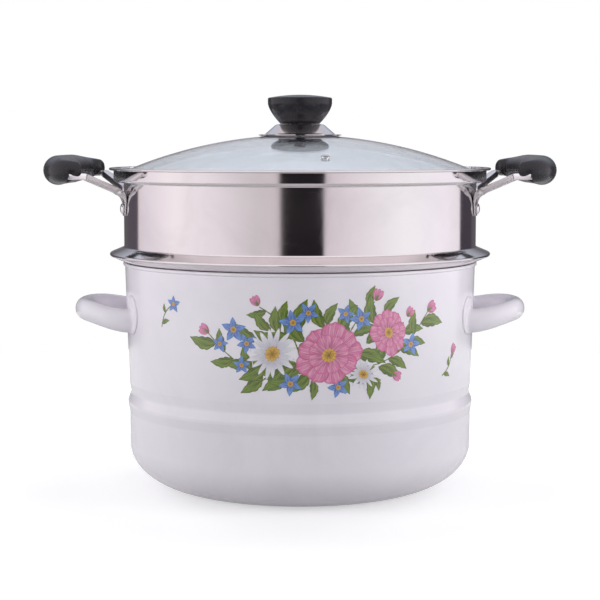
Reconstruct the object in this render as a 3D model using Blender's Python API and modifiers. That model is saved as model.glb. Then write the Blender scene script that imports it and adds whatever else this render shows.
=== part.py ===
"""Steamer pot: an enamelled pot, a stainless steamer tier that stands in its mouth, and a domed
glass lid that lies in the neck of the tier.

Everything is in metres, with Z up and the origin in the middle of the pot's base. The pieces hang
from empties on the common axis: the pot's base, the pot's rim, where the tier lifts off, the ledge
in the tier's neck, where the lid lifts off, and the crown of the glass, which carries the knob.
"""
import math

import bmesh
import bpy
from mathutils import Matrix, Vector

# Fits and fineness
FIT_GAP = 0.0003  # left between faces that touch on the real pot
WELD_GAP = 0.00002  # points closer than this are one point
RING_STEPS = 36  # sides of the large turned pieces
KNOB_STEPS = 24  # sides of those at the knob
SMALL_STEPS = 12  # sides of rivets and screws
SMALL_CORNER = 0.0013  # a fillet up to this radius is one flat
DRILL_LENGTH = 0.012  # of what cuts the holes for rivets and screws
FACET_INSET = 1.0 - math.cos(math.pi / RING_STEPS)  # how far a flat side lies inside its circle

# Enamelled pot
POT_HEIGHT = 0.1810
POT_TOP_RADIUS = 0.1399  # outside, under the rim
POT_WAIST_RADIUS = 0.1372  # outside, above the groove
POT_FOOT_RADIUS = 0.1367  # outside, where the bottom corner begins
POT_WALL = 0.0013
RIM_ROLL_RADIUS = 0.0014
GROOVE_HEIGHT = 0.0776
GROOVE_DEPTH = 0.0014
BEAD_DROP = 0.0079  # from the groove down to the bead
BEAD_DEPTH = 0.0012
CORNER_WIDTH = 0.052
CORNER_HEIGHT = 0.036
CORNER_STEPS = 6

# Pot ears
EAR_REACH = 0.0405  # from the wall to the outside of the ear
EAR_SPAN = 0.096  # between the middles of its two ends
EAR_HEIGHT = 0.1372  # middle of the ends
EAR_RISE = 0.0062
EAR_WIDTH = 0.0150
EAR_END_DEPTH = 0.0190
EAR_TIP_DEPTH = 0.0172
EAR_FOOT_WIDTH = 0.028
EAR_FOOT_HEIGHT = 0.031
EAR_FOOT_THICKNESS = 0.0016
EAR_FOOT_LIFT = 0.0045  # of the plates' middles above the ends of the ear
EAR_BOW = 0.85  # a power under 1 makes the loop squarer than a half circle
EAR_IN_WALL = 0.012  # what the wall trims off each end
EAR_SIDES = 12
EAR_FOOT_SIDES = 18
EAR_STATIONS = 13

# Steamer tier, heights above the pot's rim
SHEET = 0.0008
TIER_OUTSIDE_POT = 0.0005  # the tier's wall stands out this far past the pot's
TIER_RADIUS = POT_TOP_RADIUS + TIER_OUTSIDE_POT
SEAT_WIDTH = 0.0136
SEAT_EDGE_RADIUS = TIER_RADIUS + SEAT_WIDTH
SEAT_EDGE_RISE = 0.0063
SEAT_ROOT_RISE = 0.0056  # from the seat's edge up to where it leaves the wall
SEAT_EDGE_ROUND = 0.0014
TIER_WALL_HEIGHT = 0.0569  # from the seat's edge to the ledge
NECK_HEIGHT = 0.0113
NECK_STEP = 0.0080  # width of the ledge that carries the lid
NECK_RADIUS = TIER_RADIUS + NECK_STEP
FLANGE_WIDTH = 0.0035
FLANGE_RADIUS = NECK_RADIUS + FLANGE_WIDTH
FLANGE_THICKNESS = 0.0020
NOSE_CLEARANCE = 0.0012
NOSE_DEPTH = 0.018
NOSE_CORNER = 0.008
HOLE_RADIUS = 0.0035
HOLE_PITCH = 0.024
HOLE_RINGS = 4
HOLE_SIDES = 8
HOLE_TURN = math.radians(20.0)  # keeps the holes' corners off the floor's radial edges

# Tier handles
LEG_ANGLE = math.radians(23.0)  # each arm ends this far round from the X axis
FOOT_ANGLE = math.radians(13.0)  # and each foot is riveted this far round
LEG_SHEET = 0.0012
LEG_SLOPE = math.radians(21.0)
LEG_UNDER_NECK = 0.0033  # the arm passes this far under the neck's corner
LEG_FLANGE_DEPTH = 0.0048
LEG_FOOT_LENGTH = 0.0199
LEG_FOOT_FLAT = 0.009  # from the foot's tip, with hardly any flange
LEG_FOOT_TIP_LENGTH = 0.002
LEG_FOOT_TIP_HALF = 0.0040
LEG_FOOT_HALF = 0.0060
LEG_FOOT_TOP_HALF = 0.0140
LEG_TIP_LIP = 0.0007
LEG_FOOT_LIP = 0.0010
LEG_TAPER_LENGTH = 0.016
LEG_TAPER_HALF = 0.0056
LEG_ARM_HALF = 0.0049
LEG_CORNER = 0.0014  # fold between web and flange
LEG_BEND = 0.011
LEG_TIP_BEND = 0.012
LEG_FLAT_BEFORE_GRIP = 0.0035
LEG_WRAP_LENGTH = 0.010  # over which the foot stops following the wall's curve
ARM_IN_GRIP = 0.0100
GRIP_STANDOFF = 0.0291  # from the flange's edge to the grip's ends
GRIP_MIDDLE_REACH = 0.0083  # from the grip's ends out to the middle line of its middle
GRIP_RADIUS = 0.0115
GRIP_TIP_RADIUS = 0.0068
GRIP_SWELL_LENGTH = 0.040  # from its tip, over which the grip thickens
GRIP_LEAVE = 0.021  # how far each end runs outwards before it turns
GRIP_BROADNESS = 0.62  # share of the half span that the outer side runs straight for
GRIP_SIDES = 12
GRIP_HALF_STATIONS = 8
GRIP_ABOVE_ARM = 0.0018
POCKET_LEAD = 0.010  # the slot begins this far before the grip's end
RIVET_SHANK = 0.0022
RIVET_HEAD = 0.0045
RIVET_HEAD_RISE = 0.0022
RIVET_TAIL = 0.0040
RIVET_TAIL_THICKNESS = 0.0012
RIVET_ABOVE_TIP = 0.0056
GRIP_SCREW_SHANK = 0.0018
GRIP_SCREW_HEAD = 0.0033
GRIP_SCREW_HEAD_HEIGHT = 0.0020
GRIP_SCREW_BITE = 0.0055
GRIP_SCREW_FROM_END = 0.0052

# Lid, heights above the ledge
LID_CLEARANCE = 0.0012
BAND_SHEET = 0.0007
BAND_LIP = 0.006
GLASS_THICKNESS = 0.0036
GLASS_SPHERE = 0.356
GLASS_HOLE = 0.0055
VENT_FROM_EDGE = 0.0374  # in from the edge of the glass
VENT_ANGLE = math.radians(-80.0)
VENT_BORE = 0.0016
VENT_TUBE = 0.0024
VENT_FLANGE = 0.0033
VENT_FLANGE_THICKNESS = 0.0006

# Knob, heights above the crown of the glass
SKIRT_SHEET = 0.0006
SKIRT_RIM_RADIUS = 0.0330
SKIRT_BRIM_RADIUS = 0.0280  # where the brim turns up
SKIRT_SHOULDER_RADIUS = 0.0190
SKIRT_SHOULDER_ROUND = 0.004
SKIRT_HEIGHT = 0.0084
GASKET_THICKNESS = 0.0005
GASKET_INNER = 0.0265
GASKET_OUTER = 0.0315
KNOB_BASE_RADIUS = 0.0155
KNOB_RADIUS = 0.0256
KNOB_FLARE_HEIGHT = 0.0164  # over which it widens
KNOB_FLARE_POWER = 1.55
KNOB_FLARE_STEPS = 6
KNOB_EDGE_HEIGHT = 0.0043
KNOB_CROWN_RISE = 0.0024
INSERT_RADIUS = 0.0040
INSERT_LENGTH = 0.010
KNOB_SCREW_SHANK = 0.0020
KNOB_SCREW_HEAD = 0.0050
KNOB_SCREW_HEAD_HEIGHT = 0.0028
KNOB_SCREW_BITE = 0.0090
WASHER_RADIUS = 0.0110
WASHER_THICKNESS = 0.0010
GROMMET_THICKNESS = 0.0010

# Worked out from the sizes above
POT_INSIDE_RADIUS = POT_TOP_RADIUS - POT_WALL
RIM_ROLL_MIDDLE = POT_INSIDE_RADIUS + RIM_ROLL_RADIUS
LEDGE_Z = SEAT_EDGE_RISE + TIER_WALL_HEIGHT
FLANGE_Z = LEDGE_Z + NECK_HEIGHT
NOSE_RADIUS = POT_INSIDE_RADIUS - NOSE_CLEARANCE
GRIP_END_RADIUS = FLANGE_RADIUS + GRIP_STANDOFF
LEG_FACE = TIER_RADIUS + FIT_GAP
BAND_RADIUS = NECK_RADIUS - SHEET - LID_CLEARANCE
GLASS_RADIUS = BAND_RADIUS - BAND_SHEET - FIT_GAP
GLASS_EDGE_Z = FIT_GAP + BAND_SHEET + FIT_GAP
VENT_RADIUS = GLASS_RADIUS - VENT_FROM_EDGE
GLASS_CENTRE_Z = GLASS_EDGE_Z - math.sqrt((GLASS_SPHERE - GLASS_THICKNESS) ** 2 - GLASS_RADIUS ** 2)
CROWN_Z = GLASS_CENTRE_Z + GLASS_SPHERE
KNOB_BASE_Z = SKIRT_HEIGHT + FIT_GAP

HANDLES = {  # round from +X, the angles of each arm's end and of its foot
    "left_front": (math.pi + LEG_ANGLE, math.pi + FOOT_ANGLE),
    "left_rear": (math.pi - LEG_ANGLE, math.pi - FOOT_ANGLE),
    "right_front": (-LEG_ANGLE, -FOOT_ANGLE),
    "right_rear": (LEG_ANGLE, FOOT_ANGLE),
}


def clear_scene():
    for old in list(bpy.data.objects):
        bpy.data.objects.remove(old, do_unlink=True)


def collection(name):
    group = bpy.data.collections.new(name)
    bpy.context.scene.collection.children.link(group)
    return group


clear_scene()
PARTS = collection("steamer_pot")
CUTTERS = collection("cutters")


def material(name, colour, roughness, metallic=0.0, transmission=0.0):
    made = bpy.data.materials.new(name)
    made.use_nodes = True
    shader = made.node_tree.nodes["Principled BSDF"]
    shader.inputs["Base Color"].default_value = (*colour, 1.0)
    shader.inputs["Roughness"].default_value = roughness
    shader.inputs["Metallic"].default_value = metallic
    shader.inputs["Transmission Weight"].default_value = transmission
    made.diffuse_color = (*colour, 1.0)
    return made


ENAMEL = material("white_enamel", (0.80, 0.79, 0.82), 0.12)
STEEL = material("polished_steel", (0.72, 0.70, 0.70), 0.12, metallic=1.0)
RESIN = material("black_phenolic", (0.018, 0.017, 0.020), 0.28)
GLASS = material("tempered_glass", (0.86, 0.89, 0.92), 0.02, transmission=1.0)
RUBBER = material("silicone", (0.35, 0.36, 0.38), 0.6)
BRASS = material("brass", (0.78, 0.60, 0.30), 0.3, metallic=1.0)


def empty(name, parent=None, height=0.0):
    frame = bpy.data.objects.new(name, None)
    frame.empty_display_size = 0.03
    frame.parent = parent
    frame.location.z = height
    PARTS.objects.link(frame)
    return frame


POT_FRAME = empty("pot_frame")
TIER_FRAME = empty("tier_frame", POT_FRAME, POT_HEIGHT)
LID_FRAME = empty("lid_frame", TIER_FRAME, LEDGE_Z + SHEET)
KNOB_FRAME = empty("knob_frame", LID_FRAME, CROWN_Z)


def place(name, mesh, finish, parent, turn=0.0):
    """A finished piece of the pot, turned about the common axis."""
    piece = bpy.data.objects.new(name, mesh)
    piece.parent = parent
    piece.rotation_euler.z = turn
    if not mesh.materials:
        mesh.materials.append(finish)
    PARTS.objects.link(piece)
    return piece


def cutter(name, mesh, parent):
    """A helper shape that the finished part leaves out."""
    tool = bpy.data.objects.new(name, mesh)
    tool.parent = parent
    tool.hide_render = True
    tool.display_type = "WIRE"
    CUTTERS.objects.link(tool)
    return tool


def boolean(piece, tool, operation="DIFFERENCE"):
    step = piece.modifiers.new(operation.lower(), "BOOLEAN")
    step.operation = operation
    step.solver = "EXACT"
    step.object = tool
    weld = piece.modifiers.new("weld", "WELD")
    weld.merge_threshold = WELD_GAP


def finished_mesh(piece):
    """The piece's shape with its modifiers applied, in its own coordinates."""
    bpy.context.view_layer.update()
    graph = bpy.context.evaluated_depsgraph_get()
    return bpy.data.meshes.new_from_object(piece.evaluated_get(graph))


def smooth(mesh, angle=35.0):
    mesh.shade_smooth()
    mesh.set_sharp_from_angle(angle=math.radians(angle))


# Outlines

def rounded(points, steps):
    """Fillet the corners of an outline whose points are (r, z) or (r, z, corner radius)."""
    line = []
    for index, point in enumerate(points):
        corner = Vector(point[:2])
        if len(point) < 3:
            line.append(tuple(corner))
            continue
        back = (Vector(points[index - 1][:2]) - corner).normalized()
        ahead = (Vector(points[index + 1][:2]) - corner).normalized()
        half = back.angle(ahead) / 2.0
        count = steps if point[2] > SMALL_CORNER else 1
        middle = corner + (back + ahead).normalized() * (point[2] / math.sin(half))
        first = corner + back * (point[2] / math.tan(half)) - middle
        sweep = first.angle_signed(corner + ahead * (point[2] / math.tan(half)) - middle)
        for step in range(count + 1):
            turn = Matrix.Rotation(-sweep * step / count, 2)
            line.append(tuple(middle + turn @ first))
    return line


def inset(line, depth):
    """The line moved to the right of its direction of travel."""
    moved = []
    for index, point in enumerate(line):
        normals = []
        for near, far in ((index - 1, index), (index, index + 1)):
            if near < 0 or far >= len(line):
                continue
            along = (Vector(line[far]) - Vector(line[near])).normalized()
            normals.append(Vector((along.y, -along.x)))
        mean = sum(normals, Vector((0.0, 0.0))).normalized()
        moved.append(tuple(Vector(point) + mean * (depth / max(0.4, mean.dot(normals[0])))))
    return moved


def arc(centre_r, centre_z, radius, start, end, steps):
    """Points on an arc, with its angles in degrees from the outward direction."""
    line = []
    for step in range(steps + 1):
        angle = math.radians(start + (end - start) * step / steps)
        line.append((centre_r + radius * math.cos(angle), centre_z + radius * math.sin(angle)))
    return line


def turned(name, outline, steps, closed):
    """Turn an outline about Z. It runs down its outer side; a closed one is a ring's section."""
    mesh = bpy.data.meshes.new(name)
    count = len(outline)
    edges = [(index, index + 1) for index in range(count - 1)]
    if closed:
        edges.append((count - 1, 0))
    mesh.from_pydata([(r, 0.0, z) for r, z in outline], edges, [])
    blank = cutter(name + "_outline", mesh, None)
    screw = blank.modifiers.new("turn", "SCREW")
    screw.steps = steps
    screw.render_steps = steps
    screw.use_merge_vertices = True
    screw.merge_threshold = 0.00001
    shape = finished_mesh(blank)
    bpy.data.objects.remove(blank, do_unlink=True)
    shape.name = name
    smooth(shape)
    return shape


def primitives(name, shapes):
    """One mesh of boxes and cylinders, each given as (kind, sizes, matrix)."""
    bm = bmesh.new()
    for kind, size, matrix in shapes:
        if kind == "box":
            grown = matrix @ Matrix.Diagonal((*size, 1.0))
            bmesh.ops.create_cube(bm, size=1.0, matrix=grown)
        else:
            radius, depth, sides = size
            bmesh.ops.create_cone(bm, cap_ends=True, segments=sides, radius1=radius,
                                  radius2=radius, depth=depth, matrix=matrix)
    mesh = bpy.data.meshes.new(name)
    bm.to_mesh(mesh)
    bm.free()
    return mesh


def tube(name, points, radii, sides):
    """A round bar along points in the XY plane, with capped ends, as a closed mesh."""
    data = bpy.data.curves.new(name, "CURVE")
    data.dimensions = "3D"
    data.twist_mode = "Z_UP"
    data.bevel_depth = 1.0
    data.bevel_resolution = sides // 2 - 2
    data.use_fill_caps = True
    spline = data.splines.new("POLY")
    spline.points.add(len(points) - 1)
    for knot, point, radius in zip(spline.points, points, radii):
        knot.co = (point[0], point[1], 0.0, 1.0)
        knot.radius = radius
    wire = cutter(name + "_line", data, None)
    mesh = finished_mesh(wire)
    bpy.data.objects.remove(wire, do_unlink=True)
    bm = bmesh.new()
    bm.from_mesh(mesh)
    bmesh.ops.remove_doubles(bm, verts=bm.verts, dist=0.00001)
    bmesh.ops.recalc_face_normals(bm, faces=bm.faces)
    bm.to_mesh(mesh)
    bm.free()
    return mesh


def ease(value):
    value = min(1.0, max(0.0, value))
    return value * value * (3.0 - 2.0 * value)


def polar(radius, angle):
    return Vector((radius * math.cos(angle), radius * math.sin(angle)))


# Pot

def pot_outer_line():
    """Outside of the pot's wall, from under the rim down to the middle of the base."""
    under_rim = -math.degrees(math.acos((POT_TOP_RADIUS - RIM_ROLL_MIDDLE) / RIM_ROLL_RADIUS))
    top = arc(RIM_ROLL_MIDDLE, POT_HEIGHT - RIM_ROLL_RADIUS, RIM_ROLL_RADIUS, under_rim, under_rim, 1)[0]
    bead_height = GROOVE_HEIGHT - BEAD_DROP
    half = BEAD_DROP / 2.0
    line = rounded([
        top,
        (POT_WAIST_RADIUS, GROOVE_HEIGHT + BEAD_DROP, 0.006),
        (POT_WAIST_RADIUS - GROOVE_DEPTH, GROOVE_HEIGHT, 0.004),
        (POT_WAIST_RADIUS + BEAD_DEPTH, bead_height + half * 0.3, 0.003),
        (POT_WAIST_RADIUS + BEAD_DEPTH, bead_height - half * 0.3, 0.003),
        (POT_FOOT_RADIUS + 0.0003, bead_height - BEAD_DROP, 0.006),
        (POT_FOOT_RADIUS, CORNER_HEIGHT),
    ], steps=1)
    for step in range(1, CORNER_STEPS + 1):
        angle = math.radians(90.0 * step / CORNER_STEPS)
        line.append((POT_FOOT_RADIUS - CORNER_WIDTH + CORNER_WIDTH * math.cos(angle),
                     CORNER_HEIGHT * (1.0 - math.sin(angle))))
    line.append((0.0, 0.0))
    return line


def make_pot():
    outer = pot_outer_line()
    inner = inset(outer, POT_WALL)
    inner[-1] = (0.0, POT_WALL)
    under_rim = -math.degrees(math.acos((POT_TOP_RADIUS - RIM_ROLL_MIDDLE) / RIM_ROLL_RADIUS))
    rim = arc(RIM_ROLL_MIDDLE, POT_HEIGHT - RIM_ROLL_RADIUS, RIM_ROLL_RADIUS, 180.0, under_rim, 6)
    outline = inner[::-1] + rim[:-1] + outer
    place("pot_body", turned("pot_body", outline, RING_STEPS, closed=False), ENAMEL, POT_FRAME)


def pot_plug(name, clearance):
    """The pot's outside, swollen by a clearance, as a solid that cuts what is fixed to the wall."""
    line = inset(pot_outer_line(), -clearance)
    line[-1] = (0.0, -clearance)
    return cutter(name, turned(name, [(0.0, line[0][1])] + line, RING_STEPS, closed=False), POT_FRAME)


def ear_mesh():
    """One ear, lying towards +X: a loop that stands out from the wall and rises to its tip."""
    wall = POT_TOP_RADIUS
    half_span = EAR_SPAN / 2.0
    root_x = math.sqrt(wall ** 2 - half_span ** 2)
    tip_x = wall + EAR_REACH - EAR_WIDTH / 2.0
    points = [(root_x - EAR_IN_WALL, -half_span)]
    for step in range(EAR_STATIONS + 1):
        angle = math.pi * step / EAR_STATIONS
        bow = abs(math.sin(angle)) ** EAR_BOW
        points.append((root_x + (tip_x - root_x) * bow, -half_span * math.cos(angle)))
    points.append((root_x - EAR_IN_WALL, half_span))
    mesh = tube("pot_ear", points, [EAR_WIDTH / 2.0] * len(points), EAR_SIDES)
    for vertex in mesh.vertices:
        share = ease((vertex.co.x - root_x) / (tip_x - root_x))
        depth = EAR_END_DEPTH + (EAR_TIP_DEPTH - EAR_END_DEPTH) * share
        vertex.co.z = vertex.co.z * depth / EAR_WIDTH + EAR_HEIGHT + EAR_RISE * share
    return mesh


def ear_feet_mesh():
    """Two oval pads, lying towards +X, that the wall's curve will trim to plates."""
    half_angle = math.asin(EAR_SPAN / 2.0 / POT_TOP_RADIUS)
    pads = []
    for angle in (-half_angle, half_angle):
        spot = polar(POT_TOP_RADIUS, angle)
        matrix = Matrix.Translation((*spot, EAR_HEIGHT + EAR_FOOT_LIFT)) @ Matrix.Rotation(angle, 4, "Z")
        squashed = Matrix.Diagonal((1.0, EAR_FOOT_WIDTH / EAR_FOOT_HEIGHT, 1.0, 1.0))
        oval = Matrix.Rotation(math.pi / 2.0, 4, "Y") @ squashed
        pads.append(("rod", (EAR_FOOT_HEIGHT / 2.0, EAR_IN_WALL, EAR_FOOT_SIDES), matrix @ oval))
    return primitives("ear_feet", pads)


def make_ears():
    trim = pot_plug("pot_trim", FIT_GAP)
    skin = pot_plug("foot_skin", FIT_GAP + EAR_FOOT_THICKNESS)
    for side, turn in (("right", 0.0), ("left", math.pi)):
        feet = cutter(f"ear_feet_{side}", ear_feet_mesh(), POT_FRAME)
        feet.rotation_euler.z = turn
        boolean(feet, skin, "INTERSECT")
        ear = place(f"pot_ear_{side}", ear_mesh(), ENAMEL, POT_FRAME, turn)
        boolean(ear, feet, "UNION")
        boolean(ear, trim)
        smooth(ear.data)


# Steamer tier

def seat_line_slope():
    """Slope of the seat's underside, which touches the pot's rolled rim all round."""
    across = SEAT_EDGE_RADIUS - RIM_ROLL_MIDDLE
    up = SEAT_EDGE_RISE + RIM_ROLL_RADIUS
    return math.atan2(up, across) - math.asin((RIM_ROLL_RADIUS + FIT_GAP) / math.hypot(across, up))


def tier_outer_line():
    """Outside of the tier, from the neck's top down to the middle of the floor."""
    seat_foot = SEAT_EDGE_RISE - (SEAT_EDGE_RADIUS - NOSE_RADIUS) * math.tan(seat_line_slope())
    return rounded([
        (NECK_RADIUS, FLANGE_Z - FLANGE_THICKNESS),
        (NECK_RADIUS, LEDGE_Z, 0.0022),
        (TIER_RADIUS, LEDGE_Z, 0.0012),
        (TIER_RADIUS, SEAT_EDGE_RISE + SEAT_ROOT_RISE, 0.0020),
        (SEAT_EDGE_RADIUS, SEAT_EDGE_RISE, SEAT_EDGE_ROUND),
        (NOSE_RADIUS, seat_foot, 0.0015),
        (NOSE_RADIUS, -NOSE_DEPTH, NOSE_CORNER),
        (0.0, -NOSE_DEPTH),
    ], steps=4)


def floor_holes():
    """Steam holes in rings about the axis, six more in each ring."""
    holes = []
    for ring in range(HOLE_RINGS + 1):
        for index in range(max(1, 6 * ring)):
            spot = polar(HOLE_PITCH * ring, 2.0 * math.pi * index / max(1, 6 * ring))
            matrix = Matrix.Translation((*spot, -NOSE_DEPTH)) @ Matrix.Rotation(HOLE_TURN, 4, "Z")
            holes.append(("rod", (HOLE_RADIUS, 6.0 * SHEET, HOLE_SIDES), matrix))
    return holes


def rivet_matrix(angle):
    """Carries the Z axis to the rivet's axis on the leg at this angle."""
    spot = Matrix.Translation((TIER_RADIUS, 0.0, rivet_height()))
    return Matrix.Rotation(angle, 4, "Z") @ spot @ Matrix.Rotation(math.pi / 2.0, 4, "Y")


def make_tier():
    outer = tier_outer_line()
    inner = inset(outer, SHEET)
    inner[-1] = (0.0, SHEET - NOSE_DEPTH)
    lip = FLANGE_THICKNESS / 2.0
    edge = arc(FLANGE_RADIUS - lip, FLANGE_Z - lip, lip, 90.0, -90.0, 4)
    outline = inner[::-1] + [(NECK_RADIUS - SHEET, FLANGE_Z)] + edge + outer
    shell = turned("steamer_body", outline, RING_STEPS, closed=False)
    tier = place("steamer_body", shell, STEEL, TIER_FRAME)
    holes = floor_holes()
    for _, foot_angle in HANDLES.values():
        holes.append(("rod", (RIVET_SHANK + FIT_GAP, DRILL_LENGTH, SMALL_STEPS), rivet_matrix(foot_angle)))
    boolean(tier, cutter("tier_holes", primitives("tier_holes", holes), TIER_FRAME))


# Tier handles

def leg_flat_radius():
    """Where the arm turns level and stops splaying out."""
    return GRIP_END_RADIUS - LEG_FLAT_BEFORE_GRIP


def leg_line():
    """The leg's face towards the wall, up the wall and out along the arm, as (radius, height)."""
    slope = math.tan(LEG_SLOPE)
    under_neck = LEDGE_Z - LEG_UNDER_NECK
    bend_z = under_neck - (NECK_RADIUS - LEG_FACE) * slope
    flat_x = leg_flat_radius()
    flat_z = under_neck + (flat_x - NECK_RADIUS) * slope
    foot_z = bend_z - LEG_FOOT_LENGTH
    foot = [(LEG_FACE, foot_z + LEG_FOOT_LENGTH * share) for share in (0.0, 0.1, 0.28, 0.5)]
    bends = rounded([
        (LEG_FACE, foot_z),
        (LEG_FACE, bend_z, LEG_BEND),
        (flat_x, flat_z, LEG_TIP_BEND),
        (GRIP_END_RADIUS + ARM_IN_GRIP, flat_z),
    ], steps=3)
    return foot + bends[1:]


def rivet_height():
    return leg_line()[0][1] + RIVET_ABOVE_TIP


def grip_height():
    return leg_line()[-1][1] + GRIP_ABOVE_ARM


def between(value, stops):
    """Straight-line value between (place, value) stops."""
    for (low, first), (high, last) in zip(stops[:-1], stops[1:]):
        if value <= high:
            share = (value - low) / (high - low)
            return first + (last - first) * max(0.0, share)
    return stops[-1][1]


def leg_mesh(foot_turn):
    """One channel leg with its arm's end on +X and its foot turned round the axis from there."""
    line = leg_line()
    lengths = [0.0]
    for near, far in zip(line[:-1], line[1:]):
        lengths.append(lengths[-1] + math.dist(near, far))
    widths = [
        (0.0, LEG_FOOT_TIP_HALF),
        (LEG_FOOT_TIP_LENGTH, LEG_FOOT_HALF),
        (LEG_FOOT_LENGTH, LEG_FOOT_TOP_HALF),
        (LEG_FOOT_LENGTH + LEG_TAPER_LENGTH, LEG_TAPER_HALF),
        (lengths[-1], LEG_ARM_HALF),
    ]
    depths = [
        (0.0, LEG_TIP_LIP),
        (LEG_FOOT_FLAT, LEG_FOOT_LIP),
        (LEG_FOOT_LENGTH, LEG_FLANGE_DEPTH),
        (lengths[-1], LEG_FLANGE_DEPTH),
    ]
    bm = bmesh.new()
    bmesh.ops.create_grid(bm, x_segments=len(line) - 1, y_segments=6, size=1.0)
    for vertex in bm.verts:
        index = round((vertex.co.x + 1.0) / 2.0 * (len(line) - 1))
        column = round(vertex.co.y * 3.0)
        near = Vector(line[max(0, index - 1)])
        far = Vector(line[min(len(line) - 1, index + 1)])
        along = (far - near).normalized()
        outward = Vector((along.y, -along.x))
        half = between(lengths[index], widths)
        depth = between(lengths[index], depths)
        corner = min(LEG_CORNER, depth / 2.0)
        section = ((0.0, 0.0), (half - corner, 0.0), (half, corner), (half, depth))
        sideways, drop = section[abs(column)]
        on_wall = 1.0 - ease((lengths[index] - LEG_FOOT_LENGTH * 0.7) / LEG_WRAP_LENGTH)
        drop -= on_wall * sideways ** 2 / (2.0 * LEG_FACE)
        spot = Vector(line[index]) + outward * drop
        vertex.co = (spot.x, math.copysign(sideways, column), spot.y)
        splay = 1.0 - min(1.0, (line[index][0] - LEG_FACE) / (leg_flat_radius() - LEG_FACE))
        vertex.co = Matrix.Rotation(foot_turn * splay, 3, "Z") @ vertex.co
    mesh = bpy.data.meshes.new("handle_leg")
    bm.to_mesh(mesh)
    bm.free()
    blank = cutter("leg_blank", mesh, None)
    thicken = blank.modifiers.new("sheet", "SOLIDIFY")
    thicken.thickness = LEG_SHEET
    thicken.offset = -1.0
    thicken.use_even_offset = True
    arm_end = line[-1]
    holes = [
        ("rod", (RIVET_SHANK + FIT_GAP, DRILL_LENGTH, SMALL_STEPS), rivet_matrix(foot_turn)),
        ("rod", (GRIP_SCREW_SHANK + FIT_GAP, DRILL_LENGTH, SMALL_STEPS),
         Matrix.Translation((arm_end[0] - GRIP_SCREW_FROM_END, 0.0, arm_end[1]))),
    ]
    drills = cutter("leg_drills", primitives("leg_drills", holes), None)
    boolean(blank, drills)
    shape = finished_mesh(blank)
    bpy.data.objects.remove(blank, do_unlink=True)
    bpy.data.objects.remove(drills, do_unlink=True)
    smooth(shape)
    return shape


def rivet_mesh():
    """A dome-headed rivet through the leg's foot and the tier's wall, clenched inside."""
    head = LEG_FACE + LEG_SHEET + FIT_GAP - TIER_RADIUS
    inside = (TIER_RADIUS - SHEET) * (1.0 - FACET_INSET) - FIT_GAP - TIER_RADIUS
    outline = [(0.0, head + RIVET_HEAD_RISE)]
    for step in range(1, 4):
        angle = math.radians(90.0 - 30.0 * step)
        outline.append((RIVET_HEAD * math.cos(angle), head + RIVET_HEAD_RISE * math.sin(angle)))
    outline += [
        (RIVET_SHANK, head),
        (RIVET_SHANK, inside),
        (RIVET_TAIL, inside),
        (RIVET_TAIL * 0.9, inside - RIVET_TAIL_THICKNESS),
        (0.0, inside - RIVET_TAIL_THICKNESS),
    ]
    mesh = turned("leg_rivet", outline, SMALL_STEPS, closed=False)
    mesh.transform(rivet_matrix(0.0))
    return mesh


def grip_screw_mesh():
    """A pan-headed screw, up through the end of the arm and into the grip."""
    x, web = leg_line()[-1]
    head = web - LEG_SHEET - FIT_GAP
    outline = [
        (0.0, web + GRIP_SCREW_BITE),
        (GRIP_SCREW_SHANK, web + GRIP_SCREW_BITE),
        (GRIP_SCREW_SHANK, head),
        (GRIP_SCREW_HEAD, head),
        (GRIP_SCREW_HEAD, head - GRIP_SCREW_HEAD_HEIGHT * 0.6),
        (GRIP_SCREW_HEAD * 0.75, head - GRIP_SCREW_HEAD_HEIGHT),
        (0.0, head - GRIP_SCREW_HEAD_HEIGHT),
    ]
    mesh = turned("grip_screw", outline, SMALL_STEPS, closed=False)
    mesh.transform(Matrix.Translation((x - GRIP_SCREW_FROM_END, 0.0, 0.0)))
    return mesh


def grip_mesh():
    """One crescent grip towards +X, from its end on one leg round to its end on the other."""
    start = polar(GRIP_END_RADIUS, -LEG_ANGLE)
    leave = start + polar(GRIP_LEAVE, -LEG_ANGLE)
    end = Vector((GRIP_END_RADIUS + GRIP_MIDDLE_REACH, 0.0))
    arrive = end - Vector((0.0, -start.y * GRIP_BROADNESS))
    half = []
    for step in range(GRIP_HALF_STATIONS + 1):
        t = step / GRIP_HALF_STATIONS
        s = 1.0 - t
        half.append(start * s ** 3 + leave * (3 * s * s * t) + arrive * (3 * s * t * t) + end * t ** 3)
    points = half + [Vector((point.x, -point.y)) for point in half[-2::-1]]
    radii = []
    for point in points:
        nearer_end = start if point.y < 0 else Vector((start.x, -start.y))
        share = ease((point - nearer_end).length / GRIP_SWELL_LENGTH)
        radii.append(GRIP_TIP_RADIUS + (GRIP_RADIUS - GRIP_TIP_RADIUS) * math.sqrt(share))
    mesh = tube("handle_grip", points, radii, GRIP_SIDES)
    mesh.transform(Matrix.Translation((0.0, 0.0, grip_height())))
    return mesh


def grip_pockets_mesh():
    """What the arms' ends need inside a grip: a slot open below for each."""
    x, web = leg_line()[-1]
    low_x = GRIP_END_RADIUS - POCKET_LEAD
    high_x = x + FIT_GAP
    slot_top = web + FIT_GAP
    slot_depth = 2.0 * GRIP_RADIUS
    slots = []
    for angle in (-LEG_ANGLE, LEG_ANGLE):
        middle = Matrix.Translation(((low_x + high_x) / 2.0, 0.0, slot_top - slot_depth / 2.0))
        size = (high_x - low_x, 2.0 * (LEG_TAPER_HALF + FIT_GAP), slot_depth)
        slots.append(("box", size, Matrix.Rotation(angle, 4, "Z") @ middle))
    return primitives("grip_pockets", slots)


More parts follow.
